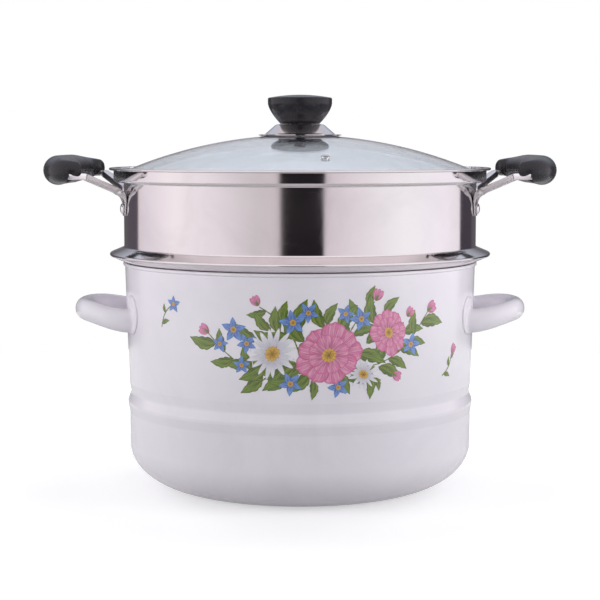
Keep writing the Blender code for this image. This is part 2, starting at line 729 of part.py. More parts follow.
def grip_bores_mesh():
    x, web = leg_line()[-1]
    depth = GRIP_SCREW_BITE + FIT_GAP
    bores = []
    for angle in (-LEG_ANGLE, LEG_ANGLE):
        middle = Matrix.Translation((x - GRIP_SCREW_FROM_END, 0.0, web + depth / 2.0))
        size = (GRIP_SCREW_SHANK + FIT_GAP, depth, SMALL_STEPS)
        bores.append(("rod", size, Matrix.Rotation(angle, 4, "Z") @ middle))
    return primitives("grip_bores", bores)


def make_handles():
    near_leg = leg_mesh(LEG_ANGLE - FOOT_ANGLE)
    far_leg = leg_mesh(FOOT_ANGLE - LEG_ANGLE)
    rivet = rivet_mesh()
    screw = grip_screw_mesh()
    for corner, (arm_angle, foot_angle) in HANDLES.items():
        leg = near_leg if foot_angle > arm_angle else far_leg
        place(f"handle_leg_{corner}", leg, STEEL, TIER_FRAME, arm_angle)
        place(f"leg_rivet_{corner}", rivet, STEEL, TIER_FRAME, foot_angle)
        place(f"grip_screw_{corner}", screw, STEEL, TIER_FRAME, arm_angle)
    blank = cutter("grip_blank", grip_mesh(), None)
    pockets = cutter("grip_pockets", grip_pockets_mesh(), None)
    bores = cutter("grip_bores", grip_bores_mesh(), None)
    boolean(blank, pockets)
    boolean(blank, bores)
    grip = finished_mesh(blank)
    for tool in (blank, pockets, bores):
        bpy.data.objects.remove(tool, do_unlink=True)
    smooth(grip, 40.0)
    for side, turn in (("left", math.pi), ("right", 0.0)):
        place(f"handle_grip_{side}", grip, RESIN, TIER_FRAME, turn)


# Lid

def glass_z(radius, sphere=GLASS_SPHERE):
    """Height of the glass above the ledge at a distance from the axis."""
    return GLASS_CENTRE_Z + math.sqrt(sphere ** 2 - radius ** 2)


def vent_matrix():
    """Stands the Z axis on the glass at the steam vent, square to its surface."""
    tilt = math.asin(VENT_RADIUS / GLASS_SPHERE)
    lean = Matrix.Rotation(tilt, 4, "Y") @ Matrix.Translation((0.0, 0.0, GLASS_SPHERE))
    return Matrix.Translation((0.0, 0.0, GLASS_CENTRE_Z)) @ Matrix.Rotation(VENT_ANGLE, 4, "Z") @ lean


def make_glass():
    inner_sphere = GLASS_SPHERE - GLASS_THICKNESS
    stations = [GLASS_HOLE + (VENT_RADIUS - GLASS_HOLE) * step / 3 for step in range(4)]
    stations += [VENT_RADIUS + (GLASS_RADIUS - VENT_RADIUS) * step / 2 for step in (1, 2)]
    outline = [(r, glass_z(r)) for r in stations]
    outline += [(r, glass_z(r, inner_sphere)) for r in stations[::-1]]
    glass = place("lid_glass", turned("lid_glass", outline, RING_STEPS, closed=True), GLASS, LID_FRAME)
    drill = ("rod", (VENT_TUBE + FIT_GAP, 4.0 * GLASS_THICKNESS, SMALL_STEPS), vent_matrix())
    boolean(glass, cutter("vent_drill", primitives("vent_drill", [drill]), LID_FRAME))


def make_band():
    """The channel crimped round the edge of the glass."""
    lip_radius = BAND_RADIUS - BAND_LIP
    over = [(lip_radius + BAND_LIP * share * 0.85) for share in (0.0, 0.5, 1.0)]
    top = GLASS_CENTRE_Z + math.sqrt(GLASS_SPHERE ** 2 - GLASS_RADIUS ** 2) + FIT_GAP
    outline = [(r, glass_z(r, GLASS_SPHERE + FIT_GAP + BAND_SHEET)) for r in over]
    outline += [
        (BAND_RADIUS, top),
        (BAND_RADIUS, FIT_GAP + BAND_SHEET * 0.6),
        (BAND_RADIUS - BAND_SHEET * 0.6, FIT_GAP),
        (lip_radius, FIT_GAP),
        (lip_radius, FIT_GAP + BAND_SHEET),
        (BAND_RADIUS - BAND_SHEET, FIT_GAP + BAND_SHEET),
        (BAND_RADIUS - BAND_SHEET, top),
    ]
    outline += [(r, glass_z(r, GLASS_SPHERE + FIT_GAP)) for r in over[::-1]]
    place("lid_band", turned("lid_band", outline, RING_STEPS, closed=True), STEEL, LID_FRAME)


def make_vent():
    top = FIT_GAP + VENT_FLANGE_THICKNESS
    under = -GLASS_THICKNESS - FIT_GAP
    outline = [
        (VENT_FLANGE, top),
        (VENT_FLANGE, FIT_GAP),
        (VENT_TUBE, FIT_GAP),
        (VENT_TUBE, under),
        (VENT_FLANGE, under),
        (VENT_FLANGE, under - VENT_FLANGE_THICKNESS),
        (VENT_BORE, under - VENT_FLANGE_THICKNESS),
        (VENT_BORE, top),
    ]
    mesh = turned("vent_eyelet", outline, SMALL_STEPS, closed=True)
    mesh.transform(vent_matrix())
    place("vent_eyelet", mesh, STEEL, LID_FRAME)


def crown_drop(radius, sphere=GLASS_SPHERE):
    """Height of the glass above its own crown, which is negative away from the axis."""
    return glass_z(radius, sphere) - CROWN_Z


def make_skirt():
    brim_lift = 2.0 * FIT_GAP + GASKET_THICKNESS + SKIRT_SHEET
    outer = rounded([
        (KNOB_SCREW_SHANK + 2.0 * FIT_GAP, SKIRT_HEIGHT),
        (SKIRT_SHOULDER_RADIUS, SKIRT_HEIGHT, SKIRT_SHOULDER_ROUND),
        (SKIRT_BRIM_RADIUS, crown_drop(SKIRT_BRIM_RADIUS) + brim_lift, 0.0025),
        (SKIRT_RIM_RADIUS, crown_drop(SKIRT_RIM_RADIUS) + brim_lift),
    ], steps=3)
    outline = outer + inset(outer, SKIRT_SHEET)[::-1]
    place("knob_skirt", turned("knob_skirt", outline, KNOB_STEPS, closed=True), STEEL, KNOB_FRAME)


def make_skirt_gasket():
    low = FIT_GAP
    high = FIT_GAP + GASKET_THICKNESS
    outline = [
        (GASKET_INNER, crown_drop(GASKET_INNER) + high),
        (GASKET_OUTER, crown_drop(GASKET_OUTER) + high),
        (GASKET_OUTER, crown_drop(GASKET_OUTER) + low),
        (GASKET_INNER, crown_drop(GASKET_INNER) + low),
    ]
    mesh = turned("skirt_gasket", outline, KNOB_STEPS, closed=True)
    place("skirt_gasket", mesh, RUBBER, KNOB_FRAME)


def make_knob():
    """A bowl-shaped knob that widens upwards, with a blind socket for its insert."""
    wide_z = KNOB_BASE_Z + KNOB_FLARE_HEIGHT
    top_z = wide_z + KNOB_EDGE_HEIGHT
    socket_top = KNOB_BASE_Z + INSERT_LENGTH + 2.0 * FIT_GAP
    outline = [(0.0, top_z + KNOB_CROWN_RISE)]
    for share in (0.5, 0.85):
        outline.append((KNOB_RADIUS * share, top_z + KNOB_CROWN_RISE * (1.0 - share ** 2)))
    outline += rounded([
        (KNOB_RADIUS * 0.9, top_z + KNOB_CROWN_RISE * 0.15),
        (KNOB_RADIUS, top_z, 0.0012),
        (KNOB_RADIUS, wide_z),
    ], steps=2)
    for step in range(1, KNOB_FLARE_STEPS + 1):
        fall = step / KNOB_FLARE_STEPS
        widen = 1.0 - fall ** KNOB_FLARE_POWER
        outline.append((KNOB_BASE_RADIUS + (KNOB_RADIUS - KNOB_BASE_RADIUS) * widen,
                        wide_z - KNOB_FLARE_HEIGHT * fall))
    socket = INSERT_RADIUS + FIT_GAP
    outline += [(socket, KNOB_BASE_Z), (socket, socket_top), (0.0, socket_top)]
    place("knob", turned("knob", outline, KNOB_STEPS, closed=False), RESIN, KNOB_FRAME)


def make_insert():
    low = KNOB_BASE_Z + FIT_GAP
    high = low + INSERT_LENGTH
    bore = KNOB_SCREW_SHANK + FIT_GAP
    outline = [(INSERT_RADIUS, high), (INSERT_RADIUS, low), (bore, low), (bore, high)]
    place("knob_insert", turned("knob_insert", outline, SMALL_STEPS, closed=True), BRASS, KNOB_FRAME)


def make_knob_screw():
    """Grommet, washer and screw, stacked under the glass on the lid's axis."""
    seat = crown_drop(WASHER_RADIUS, GLASS_SPHERE - GLASS_THICKNESS) - FIT_GAP
    collar_top = -FIT_GAP
    bore = KNOB_SCREW_SHANK + FIT_GAP
    grommet = [
        (GLASS_HOLE - FIT_GAP, collar_top),
        (GLASS_HOLE - FIT_GAP, seat),
        (WASHER_RADIUS, seat),
        (WASHER_RADIUS, seat - GROMMET_THICKNESS),
        (bore, seat - GROMMET_THICKNESS),
        (bore, collar_top),
    ]
    mesh = turned("screw_grommet", grommet, SMALL_STEPS, closed=True)
    place("screw_grommet", mesh, RUBBER, KNOB_FRAME)
    top = seat - GROMMET_THICKNESS - FIT_GAP
    under = top - WASHER_THICKNESS
    washer = [(WASHER_RADIUS, top), (WASHER_RADIUS, under), (bore, under), (bore, top)]
    mesh = turned("screw_washer", washer, SMALL_STEPS, closed=True)
    place("screw_washer", mesh, STEEL, KNOB_FRAME)
    head = under - FIT_GAP
    tip = KNOB_BASE_Z + KNOB_SCREW_BITE
    screw = [
        (0.0, tip),
        (KNOB_SCREW_SHANK, tip),
        (KNOB_SCREW_SHANK, head),
        (KNOB_SCREW_HEAD, head),
        (KNOB_SCREW_HEAD, head - KNOB_SCREW_HEAD_HEIGHT * 0.5),
        (KNOB_SCREW_HEAD * 0.7, head - KNOB_SCREW_HEAD_HEIGHT),
        (0.0, head - KNOB_SCREW_HEAD_HEIGHT),
    ]
    mesh = turned("knob_screw", screw, SMALL_STEPS, closed=False)
    place("knob_screw", mesh, STEEL, KNOB_FRAME)


make_pot()
make_ears()
make_tier()
make_handles()
make_glass()
make_band()
make_vent()
make_skirt()
make_skirt_gasket()
make_knob()
make_insert()
make_knob_screw()
bpy.context.view_layer.update()
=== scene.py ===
# %% [markdown]
# # A steamer pot in enamel, steel and glass
#
# The pot is a stack of three: an enamelled pot, a stainless tier that stands in its mouth, and a
# glass lid that lies in the tier's neck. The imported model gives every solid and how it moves. This
# lesson dresses it: each coarse solid gets a smooth piece of the same shape, with a finish built
# from shader nodes.

import random
from math import acos, asin, atan2, copysign, cos, degrees, dist, hypot, pi, radians, sin, sqrt, tan

import bpy
from mathutils import Matrix, Vector


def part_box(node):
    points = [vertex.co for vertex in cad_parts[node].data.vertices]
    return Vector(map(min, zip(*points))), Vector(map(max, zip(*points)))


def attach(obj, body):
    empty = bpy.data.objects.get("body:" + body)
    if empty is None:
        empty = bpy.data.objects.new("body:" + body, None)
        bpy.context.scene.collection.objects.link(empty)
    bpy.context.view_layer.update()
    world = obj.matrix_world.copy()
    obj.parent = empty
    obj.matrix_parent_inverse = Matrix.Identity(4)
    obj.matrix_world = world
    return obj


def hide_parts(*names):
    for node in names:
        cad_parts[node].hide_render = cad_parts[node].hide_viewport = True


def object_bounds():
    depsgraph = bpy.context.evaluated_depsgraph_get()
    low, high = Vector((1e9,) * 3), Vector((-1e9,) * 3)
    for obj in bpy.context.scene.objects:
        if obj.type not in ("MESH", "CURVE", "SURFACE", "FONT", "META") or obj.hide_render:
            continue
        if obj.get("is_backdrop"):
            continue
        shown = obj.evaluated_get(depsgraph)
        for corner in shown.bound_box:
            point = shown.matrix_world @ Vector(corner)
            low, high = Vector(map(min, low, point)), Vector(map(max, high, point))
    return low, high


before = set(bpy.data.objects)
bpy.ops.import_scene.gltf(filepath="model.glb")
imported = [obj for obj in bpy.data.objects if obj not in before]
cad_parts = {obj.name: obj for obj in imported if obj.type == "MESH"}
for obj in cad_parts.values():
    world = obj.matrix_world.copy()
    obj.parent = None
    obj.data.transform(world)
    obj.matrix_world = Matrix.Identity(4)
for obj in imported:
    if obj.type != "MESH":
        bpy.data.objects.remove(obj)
cad_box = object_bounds()

# %% [markdown]
# ## The camera
#
# The photo was taken a little above the lid's rim, with a long lens from about 1.35 m. A pinhole
# camera fitted to three rings of the pot gave its distance, height, tilt and focal length.

# %% Place the camera
PHOTO_WIDTH_PX = 600
FOCAL_LENGTH_PX = 1683
SENSOR_WIDTH_MM = 36.0
CAMERA_DISTANCE = 1.350
CAMERA_HEIGHT = 0.2765
CAMERA_TILT = radians(5.4)

camera_data = bpy.data.cameras.new("camera")
camera_data.sensor_width = SENSOR_WIDTH_MM
camera_data.lens = FOCAL_LENGTH_PX / PHOTO_WIDTH_PX * SENSOR_WIDTH_MM
camera = bpy.data.objects.new("camera", camera_data)
camera.location = (0.0, -CAMERA_DISTANCE, CAMERA_HEIGHT)
camera.rotation_euler = (pi / 2.0 - CAMERA_TILT, 0.0, 0.0)
bpy.context.scene.collection.objects.link(camera)
bpy.context.scene.camera = camera
print(f"lens {camera_data.lens:.1f} mm")

# %% [markdown]
# ## Helpers for turned pieces
#
# Almost everything here is round about one axis, so a lathe is the natural tool: one vertex is
# drawn down the outline with extrude, and the outline is spun. Corners are given as a radius, and
# a small function rounds them, so that each outline stays as short as a workshop drawing.

# %% Outline helpers
WELD = 0.000004
FINE = 144  # steps of the large turned pieces
MEDIUM = 96  # steps of the knob's pieces
SMALL = 40  # steps of rivets and screws


def rounded(points, steps):
    """Outline points (r, z) as they are, and corners (r, z, radius) as arcs."""
    line = []
    for index, point in enumerate(points):
        corner = Vector(point[:2])
        if len(point) < 3:
            line.append(tuple(corner))
            continue
        back = (Vector(points[index - 1][:2]) - corner).normalized()
        ahead = (Vector(points[index + 1][:2]) - corner).normalized()
        half = back.angle(ahead) / 2.0
        centre = corner + (back + ahead).normalized() * (point[2] / sin(half))
        first = corner + back * (point[2] / tan(half)) - centre
        sweep = first.angle_signed(corner + ahead * (point[2] / tan(half)) - centre)
        for step in range(steps + 1):
            line.append(tuple(centre + Matrix.Rotation(-sweep * step / steps, 2) @ first))
    return line


def inset(line, depth):
    """The line moved to the right of its direction of travel."""
    moved = []
    for index, point in enumerate(line):
        normals = []
        for near, far in ((index - 1, index), (index, index + 1)):
            if near >= 0 and far < len(line):
                along = (Vector(line[far]) - Vector(line[near])).normalized()
                normals.append(Vector((along.y, -along.x)))
        mean = sum(normals, Vector((0.0, 0.0))).normalized()
        moved.append(tuple(Vector(point) + mean * (depth / max(0.4, mean.dot(normals[0])))))
    return moved


def polar(radius, angle):
    return Vector((radius * cos(angle), radius * sin(angle)))


def shift(x, y, z):
    return Matrix.Translation((x, y, z))


def spin(angle, axis="Z"):
    return Matrix.Rotation(angle, 4, axis)


def arc(centre_r, centre_z, radius, start, end, steps):
    """Arc points, with angles in degrees from the outward direction."""
    angles = [radians(start + (end - start) * step / steps) for step in range(steps + 1)]
    return [(centre_r + radius * cos(a), centre_z + radius * sin(a)) for a in angles]


# %% Selection and finishing helpers
def select_only(*pieces):
    for other in list(bpy.context.selected_objects):
        other.select_set(False)
    for piece in pieces:
        piece.select_set(True)
        bpy.context.view_layer.objects.active = piece


def settle(piece, angle=35.0):
    """Bakes the piece's place into its mesh and shades it smooth, with its edges kept."""
    select_only(piece)
    bpy.ops.object.transform_apply(location=True, rotation=True, scale=True)
    bpy.ops.object.shade_smooth_by_angle(angle=radians(angle))
    return piece


def heal(weld=True):
    """Welds doubled vertices, turns all faces outwards and leaves Edit Mode."""
    bpy.ops.mesh.select_all(action="SELECT")
    if weld:
        bpy.ops.mesh.remove_doubles(threshold=WELD)
    bpy.ops.mesh.normals_make_consistent(inside=False)
    bpy.ops.object.mode_set(mode="OBJECT")


def add_modifier(piece, kind, **settings):
    made = piece.modifiers.new(kind.lower(), kind)
    for key, value in settings.items():
        setattr(made, key, value)


def apply_modifiers(piece):
    select_only(piece)
    for modifier in list(piece.modifiers):
        bpy.ops.object.modifier_apply(modifier=modifier.name)


def added(operator, **settings):
    """A new mesh primitive, with nothing else selected."""
    select_only()
    operator(**settings)
    return bpy.context.object


def joined(*pieces):
    """The pieces as one, in place of the last."""
    select_only(*pieces)
    bpy.ops.object.join()
    return bpy.context.object


def discard(*pieces):
    for piece in pieces:
        bpy.data.objects.remove(piece, do_unlink=True)


def box(place, sides, turn=0.0):
    """A box to cut with."""
    made = added(bpy.ops.mesh.primitive_cube_add, size=1.0, location=place, rotation=(0.0, 0.0, turn))
    made.scale = sides
    return settle(made)


def boolean(piece, tool, operation="DIFFERENCE"):
    add_modifier(piece, "BOOLEAN", operation=operation, solver="EXACT", object=tool)
    apply_modifiers(piece)
    discard(tool)


def turned(name, outline, steps=FINE, angle=35.0):
    """Draws an outline with extrude and spins it. A ring's outline ends where it starts."""
    r, z = outline[0]
    piece = added(bpy.ops.mesh.primitive_plane_add, size=0.001, location=(r, 0.0, z))
    piece.name = name
    bpy.ops.object.mode_set(mode="EDIT")
    bpy.ops.mesh.merge(type="CENTER")
    for here, there in zip(outline, outline[1:]):
        move = (there[0] - here[0], 0.0, there[1] - here[1])
        bpy.ops.mesh.extrude_region_move(TRANSFORM_OT_translate={"value": move})
    bpy.ops.mesh.select_all(action="SELECT")
    bpy.ops.mesh.spin(steps=steps, angle=2.0 * pi, center=(0.0, 0.0, 0.0), axis=(0.0, 0.0, 1.0))
    heal()
    settle(piece, angle)
    print(f"{name}: {len(piece.data.polygons)} faces")
    return piece


def turned_ring(name, outline, steps=FINE, angle=35.0):
    return turned(name, outline + outline[:1], steps, angle)


def copied(piece, name, matrix):
    """A copy with its own mesh, moved by a matrix."""
    twin = piece.copy()
    twin.data = piece.data.copy()
    twin.data.transform(matrix)
    twin.name = name
    bpy.context.scene.collection.objects.link(twin)
    return twin


def dressed(piece, finish, body, slot, *nodes):
    """Gives a piece its finish and its body, and hides the solids it stands for."""
    piece.data.materials.clear()
    piece.data.materials.append(finish)
    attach(piece, body)
    if nodes:
        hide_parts(*nodes)


def dressed_pair(piece, name, finish, body, slot, solid):
    """Dresses a piece as the right one of two, and adds the left one, half a turn round."""
    piece.name = f"{name}_right"
    other = copied(piece, f"{name}_left", spin(pi))
    dressed(piece, finish, body, slot, f"{solid}_right")
    dressed(other, finish, body, slot, f"{solid}_left")
    print(f"two of {name}: {len(piece.data.polygons)} faces each")


# %% [markdown]
# ## Shared surface effects
#
# Real surfaces are never even. Three effects come back in several finishes: soft smears from
# wiping, fine lines from polishing on a lathe, and the slow waviness of a fired or moulded skin.
# Each is a node group that puts out a mask or a height, which a material uses in its own strength.

# %% Node helpers
def fill(socket, value):
    """Links a socket to another, or sets its value. Colours are given without alpha."""
    if isinstance(value, bpy.types.NodeSocket):
        canvas.links.new(value, socket)
    else:
        socket.default_value = (*value, 1.0) if socket.type == "RGBA" else value


def node(kind, inputs=None, **settings):
    """Adds a node to the open tree, with its settings and inputs, and gives its outputs."""
    made = canvas.nodes.new(f"ShaderNode{kind}")
    for key, value in settings.items():
        setattr(made, key, value)
    for socket, value in (inputs or {}).items():
        fill(made.inputs[socket], value)
    return made.outputs


def sums(operation, first, second=0.0, **settings):
    return node("Math", {0: first, 1: second}, operation=operation, **settings)[0]


def ranged(value, given, wanted=(0.0, 1.0)):
    """The value, taken from its given range to the wanted one."""
    return node("MapRange", {"Value": value, "From Min": given[0], "From Max": given[1],
                             "To Min": wanted[0], "To Max": wanted[1]})[0]


def between(mask, low, high):
    """A value that runs from low to high as the mask runs from 0 to 1."""
    return ranged(mask, (0.0, 1.0), (low, high))


def noise(place, scale, detail, **more):
    return node("TexNoise", {"Vector": place, "Scale": scale, "Detail": detail, **more})["Fac"]


def blend(mask, first, second):
    """A colour that runs from the first to the second as the mask runs from 0 to 1."""
    return node("Mix", {0: mask, 6: first, 7: second}, data_type="RGBA")[2]


def ramp(value, stops):
    """A colour ramp. A new one has two stops, which take the first two of these."""
    colour = node("ValToRGB", {"Fac": value})[0]
    elements = colour.node.color_ramp.elements
    for index, (where, light) in enumerate(stops):
        stop = elements[index] if index < 2 else elements.new(where)
        stop.position = where
        stop.color = (*light, 1.0)
    return colour


def group(name, inputs, *outputs):
    """Opens a new node group. Inputs without a value are vectors, and the outputs are floats."""
    global canvas
    canvas = bpy.data.node_groups.new(name, "ShaderNodeTree")
    for label, value in inputs.items():
        kind = "Vector" if value is None else "Float"
        socket = canvas.interface.new_socket(label, in_out="INPUT", socket_type=f"NodeSocket{kind}")
        if value is not None:
            socket.default_value = value
    for label in outputs:
        canvas.interface.new_socket(label, in_out="OUTPUT", socket_type="NodeSocketFloat")
    new = canvas.nodes.new
    return canvas, new("NodeGroupInput").outputs, new("NodeGroupOutput").inputs


def open_nodes(owner):
    """Opens the node tree of a material or the world, and gives its nodes."""
    global canvas
    owner.use_nodes = True
    canvas = owner.node_tree
    return canvas.nodes


def use(effect, **inputs):
    return node("Group", inputs, node_tree=effect)


# %% Smears, lathe lines and waviness
smears, taken, given = group("wiped_smears", {"Place": None, "Scale": 20.0}, "Mask")
patch = noise(taken["Place"], taken["Scale"], 5.0, Roughness=0.62, Distortion=0.8)
fill(given["Mask"], ranged(patch, (0.42, 0.68)))

lathe, taken, given = group("lathe_lines", {"Place": None, "Fineness": 1500.0}, "Lines")
apart = node("SeparateXYZ", {"Vector": taken["Place"]})
flat = node("CombineXYZ", {"X": apart["X"], "Y": apart["Y"]})[0]
reach = node("VectorMath", {0: flat}, operation="LENGTH")["Value"]
slow_angle = sums("MULTIPLY", sums("ARCTAN2", apart["Y"], apart["X"]), 0.0015)
unrolled = node("CombineXYZ", {"X": reach, "Y": slow_angle, "Z": apart["Z"]})[0]
fill(given["Lines"], noise(unrolled, taken["Fineness"], 3.0, Roughness=0.7))

waves, taken, given = group("slow_waves", {"Place": None, "Scale": 40.0, "Peel": 300.0}, "Height")
slow = noise(taken["Place"], taken["Scale"], 1.0)
peel = noise(taken["Place"], taken["Peel"], 2.0)
fill(given["Height"], sums("ADD", slow, sums("MULTIPLY", peel, 0.22)))
print("node groups:", [tree.name for tree in bpy.data.node_groups])


# %% Parts of a finish
def blank_material(name, values):
    """A material with plain values on its shader, and its Object coordinates ready for use."""
    made = bpy.data.materials.new(name)
    shader = open_nodes(made)["Principled BSDF"].inputs
    for label, value in values.items():
        fill(shader[label], value)
    return made, shader, node("TexCoord")["Object"]


def bump(shader, height, distance, **under):
    """Raises the surface by a height, over the normal under it if there is one."""
    normal = node("Bump", {"Height": height, "Distance": distance, "Strength": 1.0, **under})[0]
    fill(shader["Normal"], normal)
    return normal


def wiped_skin(shader, place, shine, wipe_scale, wave_scale, peel_scale, height):
    """Gives a surface wipe marks and slow waves, and returns the wipe marks' mask.

    Shine is the roughness without and with wipe marks. The scales of the wipe marks, waves and peel
    are in cycles to a metre, and the height of the waves is in metres.
    """
    wipe = use(smears, Place=place, Scale=wipe_scale)[0]
    fill(shader["Roughness"], between(wipe, *shine))
    bump(shader, use(waves, Place=place, Scale=wave_scale, Peel=peel_scale)[0], height)
    return wipe


# %% [markdown]
# ## White enamel
#
# Porcelain enamel is glass fired onto steel: white with a cool cast, a little wavy, greyer where it
# runs thin, and here and there with a pinhole from firing. A coat layer gives its depth.

# %% Enamel
ENAMEL_WHITE = (0.83, 0.795, 0.855)
ENAMEL_THIN = (0.77, 0.735, 0.80)
PINHOLE_GREY = (0.30, 0.29, 0.31)
PINHOLE_RIM = (0.016, 0.008)
NO_PINHOLE = 0.93  # share of the cells without one
ENAMEL_WAVES = (26.0, 30.0, 420.0, 0.00012)  # scales of wipe marks, waves and peel, and their height

enamel, shader, place = blank_material("white_enamel", {
    "Coat Weight": 0.3, "Coat Roughness": 0.06, "IOR": 1.5, "Specular IOR Level": 0.3})
coat = blend(use(smears, Place=place, Scale=9.0)[0], ENAMEL_WHITE, ENAMEL_THIN)
cells = node("TexVoronoi", {"Vector": place, "Scale": 42.0})
hole = ranged(cells["Distance"], PINHOLE_RIM)
any_share = node("SeparateColor", {"Color": cells["Color"]})["Red"]
speck = sums("MULTIPLY", hole, sums("GREATER_THAN", any_share, NO_PINHOLE))
fill(shader["Base Color"], blend(speck, coat, PINHOLE_GREY))
wiped_skin(shader, place, (0.16, 0.24), *ENAMEL_WAVES)

# %% [markdown]
# ## Steel and brass
#
# The tier is mirror-polished stainless sheet, turned on a lathe and buffed: its reflections are
# sharp, but drawn out a little along the turning. The vent and the small hardware have a satin
# finish, and the legs and rivets a brushed one. The insert in the knob is machined brass. One
# function makes them all, with other values.

# %% Polished, satin and brushed steel, and brass
METALS = {  # colour, worn colour, roughness, and the depth and fineness of the lathe lines
    "polished_steel": ((0.74, 0.70, 0.705), (0.69, 0.655, 0.66), (0.07, 0.12), 0.0000012, 1100.0),
    "satin_steel": ((0.66, 0.65, 0.66), (0.58, 0.57, 0.58), (0.26, 0.34), 0.000004, 2200.0),
    "brushed_steel": ((0.88, 0.86, 0.87), (0.80, 0.78, 0.79), (0.26, 0.34), 0.000004, 1800.0),
    "machined_brass": ((0.78, 0.57, 0.25), (0.62, 0.44, 0.20), (0.22, 0.34), 0.000005, 2600.0),
}
LINE_SHINE = 0.02  # how much the lathe lines add to the roughness or take from it


def metal_finish(name, colour, worn, shine, line_depth, fineness):
    made, shader, place = blank_material(name, {"Metallic": 1.0})
    wipe = use(smears, Place=place, Scale=18.0)[0]
    fill(shader["Base Color"], blend(wipe, colour, worn))
    turning = use(lathe, Place=place, Fineness=fineness)[0]
    line_shine = between(turning, -LINE_SHINE, LINE_SHINE)
    fill(shader["Roughness"], sums("ADD", line_shine, between(wipe, *shine)))
    wavy = bump(shader, use(waves, Place=place, Scale=12.0, Peel=90.0)[0], distance=0.00005)
    bump(shader, turning, line_depth, Normal=wavy)
    return made


polished, satin, brushed, brass = [metal_finish(name, *look) for name, look in METALS.items()]

# %% [markdown]
# ## Black phenolic, glass and silicone
#
# The grips and the knob are pressed from phenolic resin: nearly black, glossy, with a soft peel and
# pale dust in it. The lid is clear tempered glass, whose wipe marks only change its roughness. Glass
# keeps plain values for transmission, so that it stays clear in every viewer.

# %% Phenolic
RESIN_BLACK, RESIN_FLECK = (0.016, 0.015, 0.019), (0.045, 0.043, 0.050)

phenolic, shader, place = blank_material("black_phenolic", {"Specular IOR Level": 0.35})
flecks = ranged(noise(place, 900.0, 2.0), (0.60, 0.75))
fill(shader["Base Color"], blend(flecks, RESIN_BLACK, RESIN_FLECK))
wiped_skin(shader, place, (0.22, 0.34), 60.0, 90.0, 900.0, 0.00010)

# %% Glass
glass, shader, place = blank_material("tempered_glass", {
    "Base Color": (0.86, 0.895, 0.94), "Transmission Weight": 1.0, "IOR": 1.5})
wiped_skin(shader, place, (0.0, 0.035), 22.0, 9.0, 40.0, 0.00008)

# %% Silicone
SILICONE_GREY, SILICONE_DUST = (0.20, 0.205, 0.215), (0.30, 0.305, 0.31)

silicone, shader, place = blank_material("grey_silicone", {})
dust = wiped_skin(shader, place, (0.48, 0.62), 120.0, 150.0, 1500.0, 0.00006)
fill(shader["Base Color"], blend(dust, SILICONE_GREY, SILICONE_DUST))

print("materials:", [made.name for made in (
    enamel, polished, satin, brushed, brass, phenolic, glass, silicone)])

# %% [markdown]
# ## The pot
#
# The pot is one drawn steel shell. Its wall leans out a little towards the rim, its rim is rolled
# outwards over a wire, and a groove and a bead pressed in low down stiffen the wall and mark where
# the water should stand. The base meets the wall in a big soft corner, which is a quarter of an
# ellipse. The inside follows the outside at one wall's thickness.

# %% Pot body
_, pot_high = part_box("pot_body")
POT_HEIGHT = pot_high.z
POT_TOP = 0.1399  # outside radius under the rim
POT_WAIST = 0.1372  # outside radius above the groove
POT_FOOT, FOOT_LEAN = 0.1367, 0.0003  # outside radius above the bottom corner, and how it grows upwards
POT_WALL = 0.0013
RIM_ROLL = 0.0014
GROOVE_Z = 0.0776
GROOVE_DEPTH, GROOVE_ROUND = 0.0014, 0.004
BEAD_DROP = 0.0079
BEAD_DEPTH, BEAD_ROUND = 0.0012, 0.003
BEAD_FLAT = BEAD_DROP * 0.15
WALL_ROUND = 0.006
CORNER_WIDTH, CORNER_HEIGHT = 0.052, 0.036
CORNER_STEPS = 24

rim_centre = POT_TOP - POT_WALL + RIM_ROLL
under_rim = -degrees(acos((POT_TOP - rim_centre) / RIM_ROLL))
bead_z = GROOVE_Z - BEAD_DROP
outside = rounded([
    arc(rim_centre, POT_HEIGHT - RIM_ROLL, RIM_ROLL, under_rim, under_rim, 1)[0],
    (POT_WAIST, GROOVE_Z + BEAD_DROP, WALL_ROUND),
    (POT_WAIST - GROOVE_DEPTH, GROOVE_Z, GROOVE_ROUND),
    (POT_WAIST + BEAD_DEPTH, bead_z + BEAD_FLAT, BEAD_ROUND),
    (POT_WAIST + BEAD_DEPTH, bead_z - BEAD_FLAT, BEAD_ROUND),
    (POT_FOOT + FOOT_LEAN, bead_z - BEAD_DROP, WALL_ROUND),
    (POT_FOOT, CORNER_HEIGHT),
], 5)
for step in range(1, CORNER_STEPS + 1):
    angle = pi / 2.0 * step / CORNER_STEPS
    outside.append((POT_FOOT - CORNER_WIDTH * (1.0 - cos(angle)),
                    CORNER_HEIGHT * (1.0 - sin(angle))))
outside.append((0.0, 0.0))
inside = inset(outside, POT_WALL)
inside[-1] = (0.0, POT_WALL)
roll = arc(rim_centre, POT_HEIGHT - RIM_ROLL, RIM_ROLL, 180.0, under_rim, 20)
pot = turned("enamelled_pot", inside[::-1] + roll[:-1] + outside, angle=50.0)
dressed(pot, enamel, "pot", "enamel", "pot_body")

# %% [markdown]
# ## The pot's ears
#
# Each ear is a thick bar bent to a loop, welded to the wall through two oval plates, and enamelled
# with the pot, so that no joint is left sharp. A curve with a bevel gives the bar. The bar and the
# plates are then joined by a voxel remesh and smoothed, as a thick coat of enamel rounds the real
# joint, and last the shape is cut to the wall.

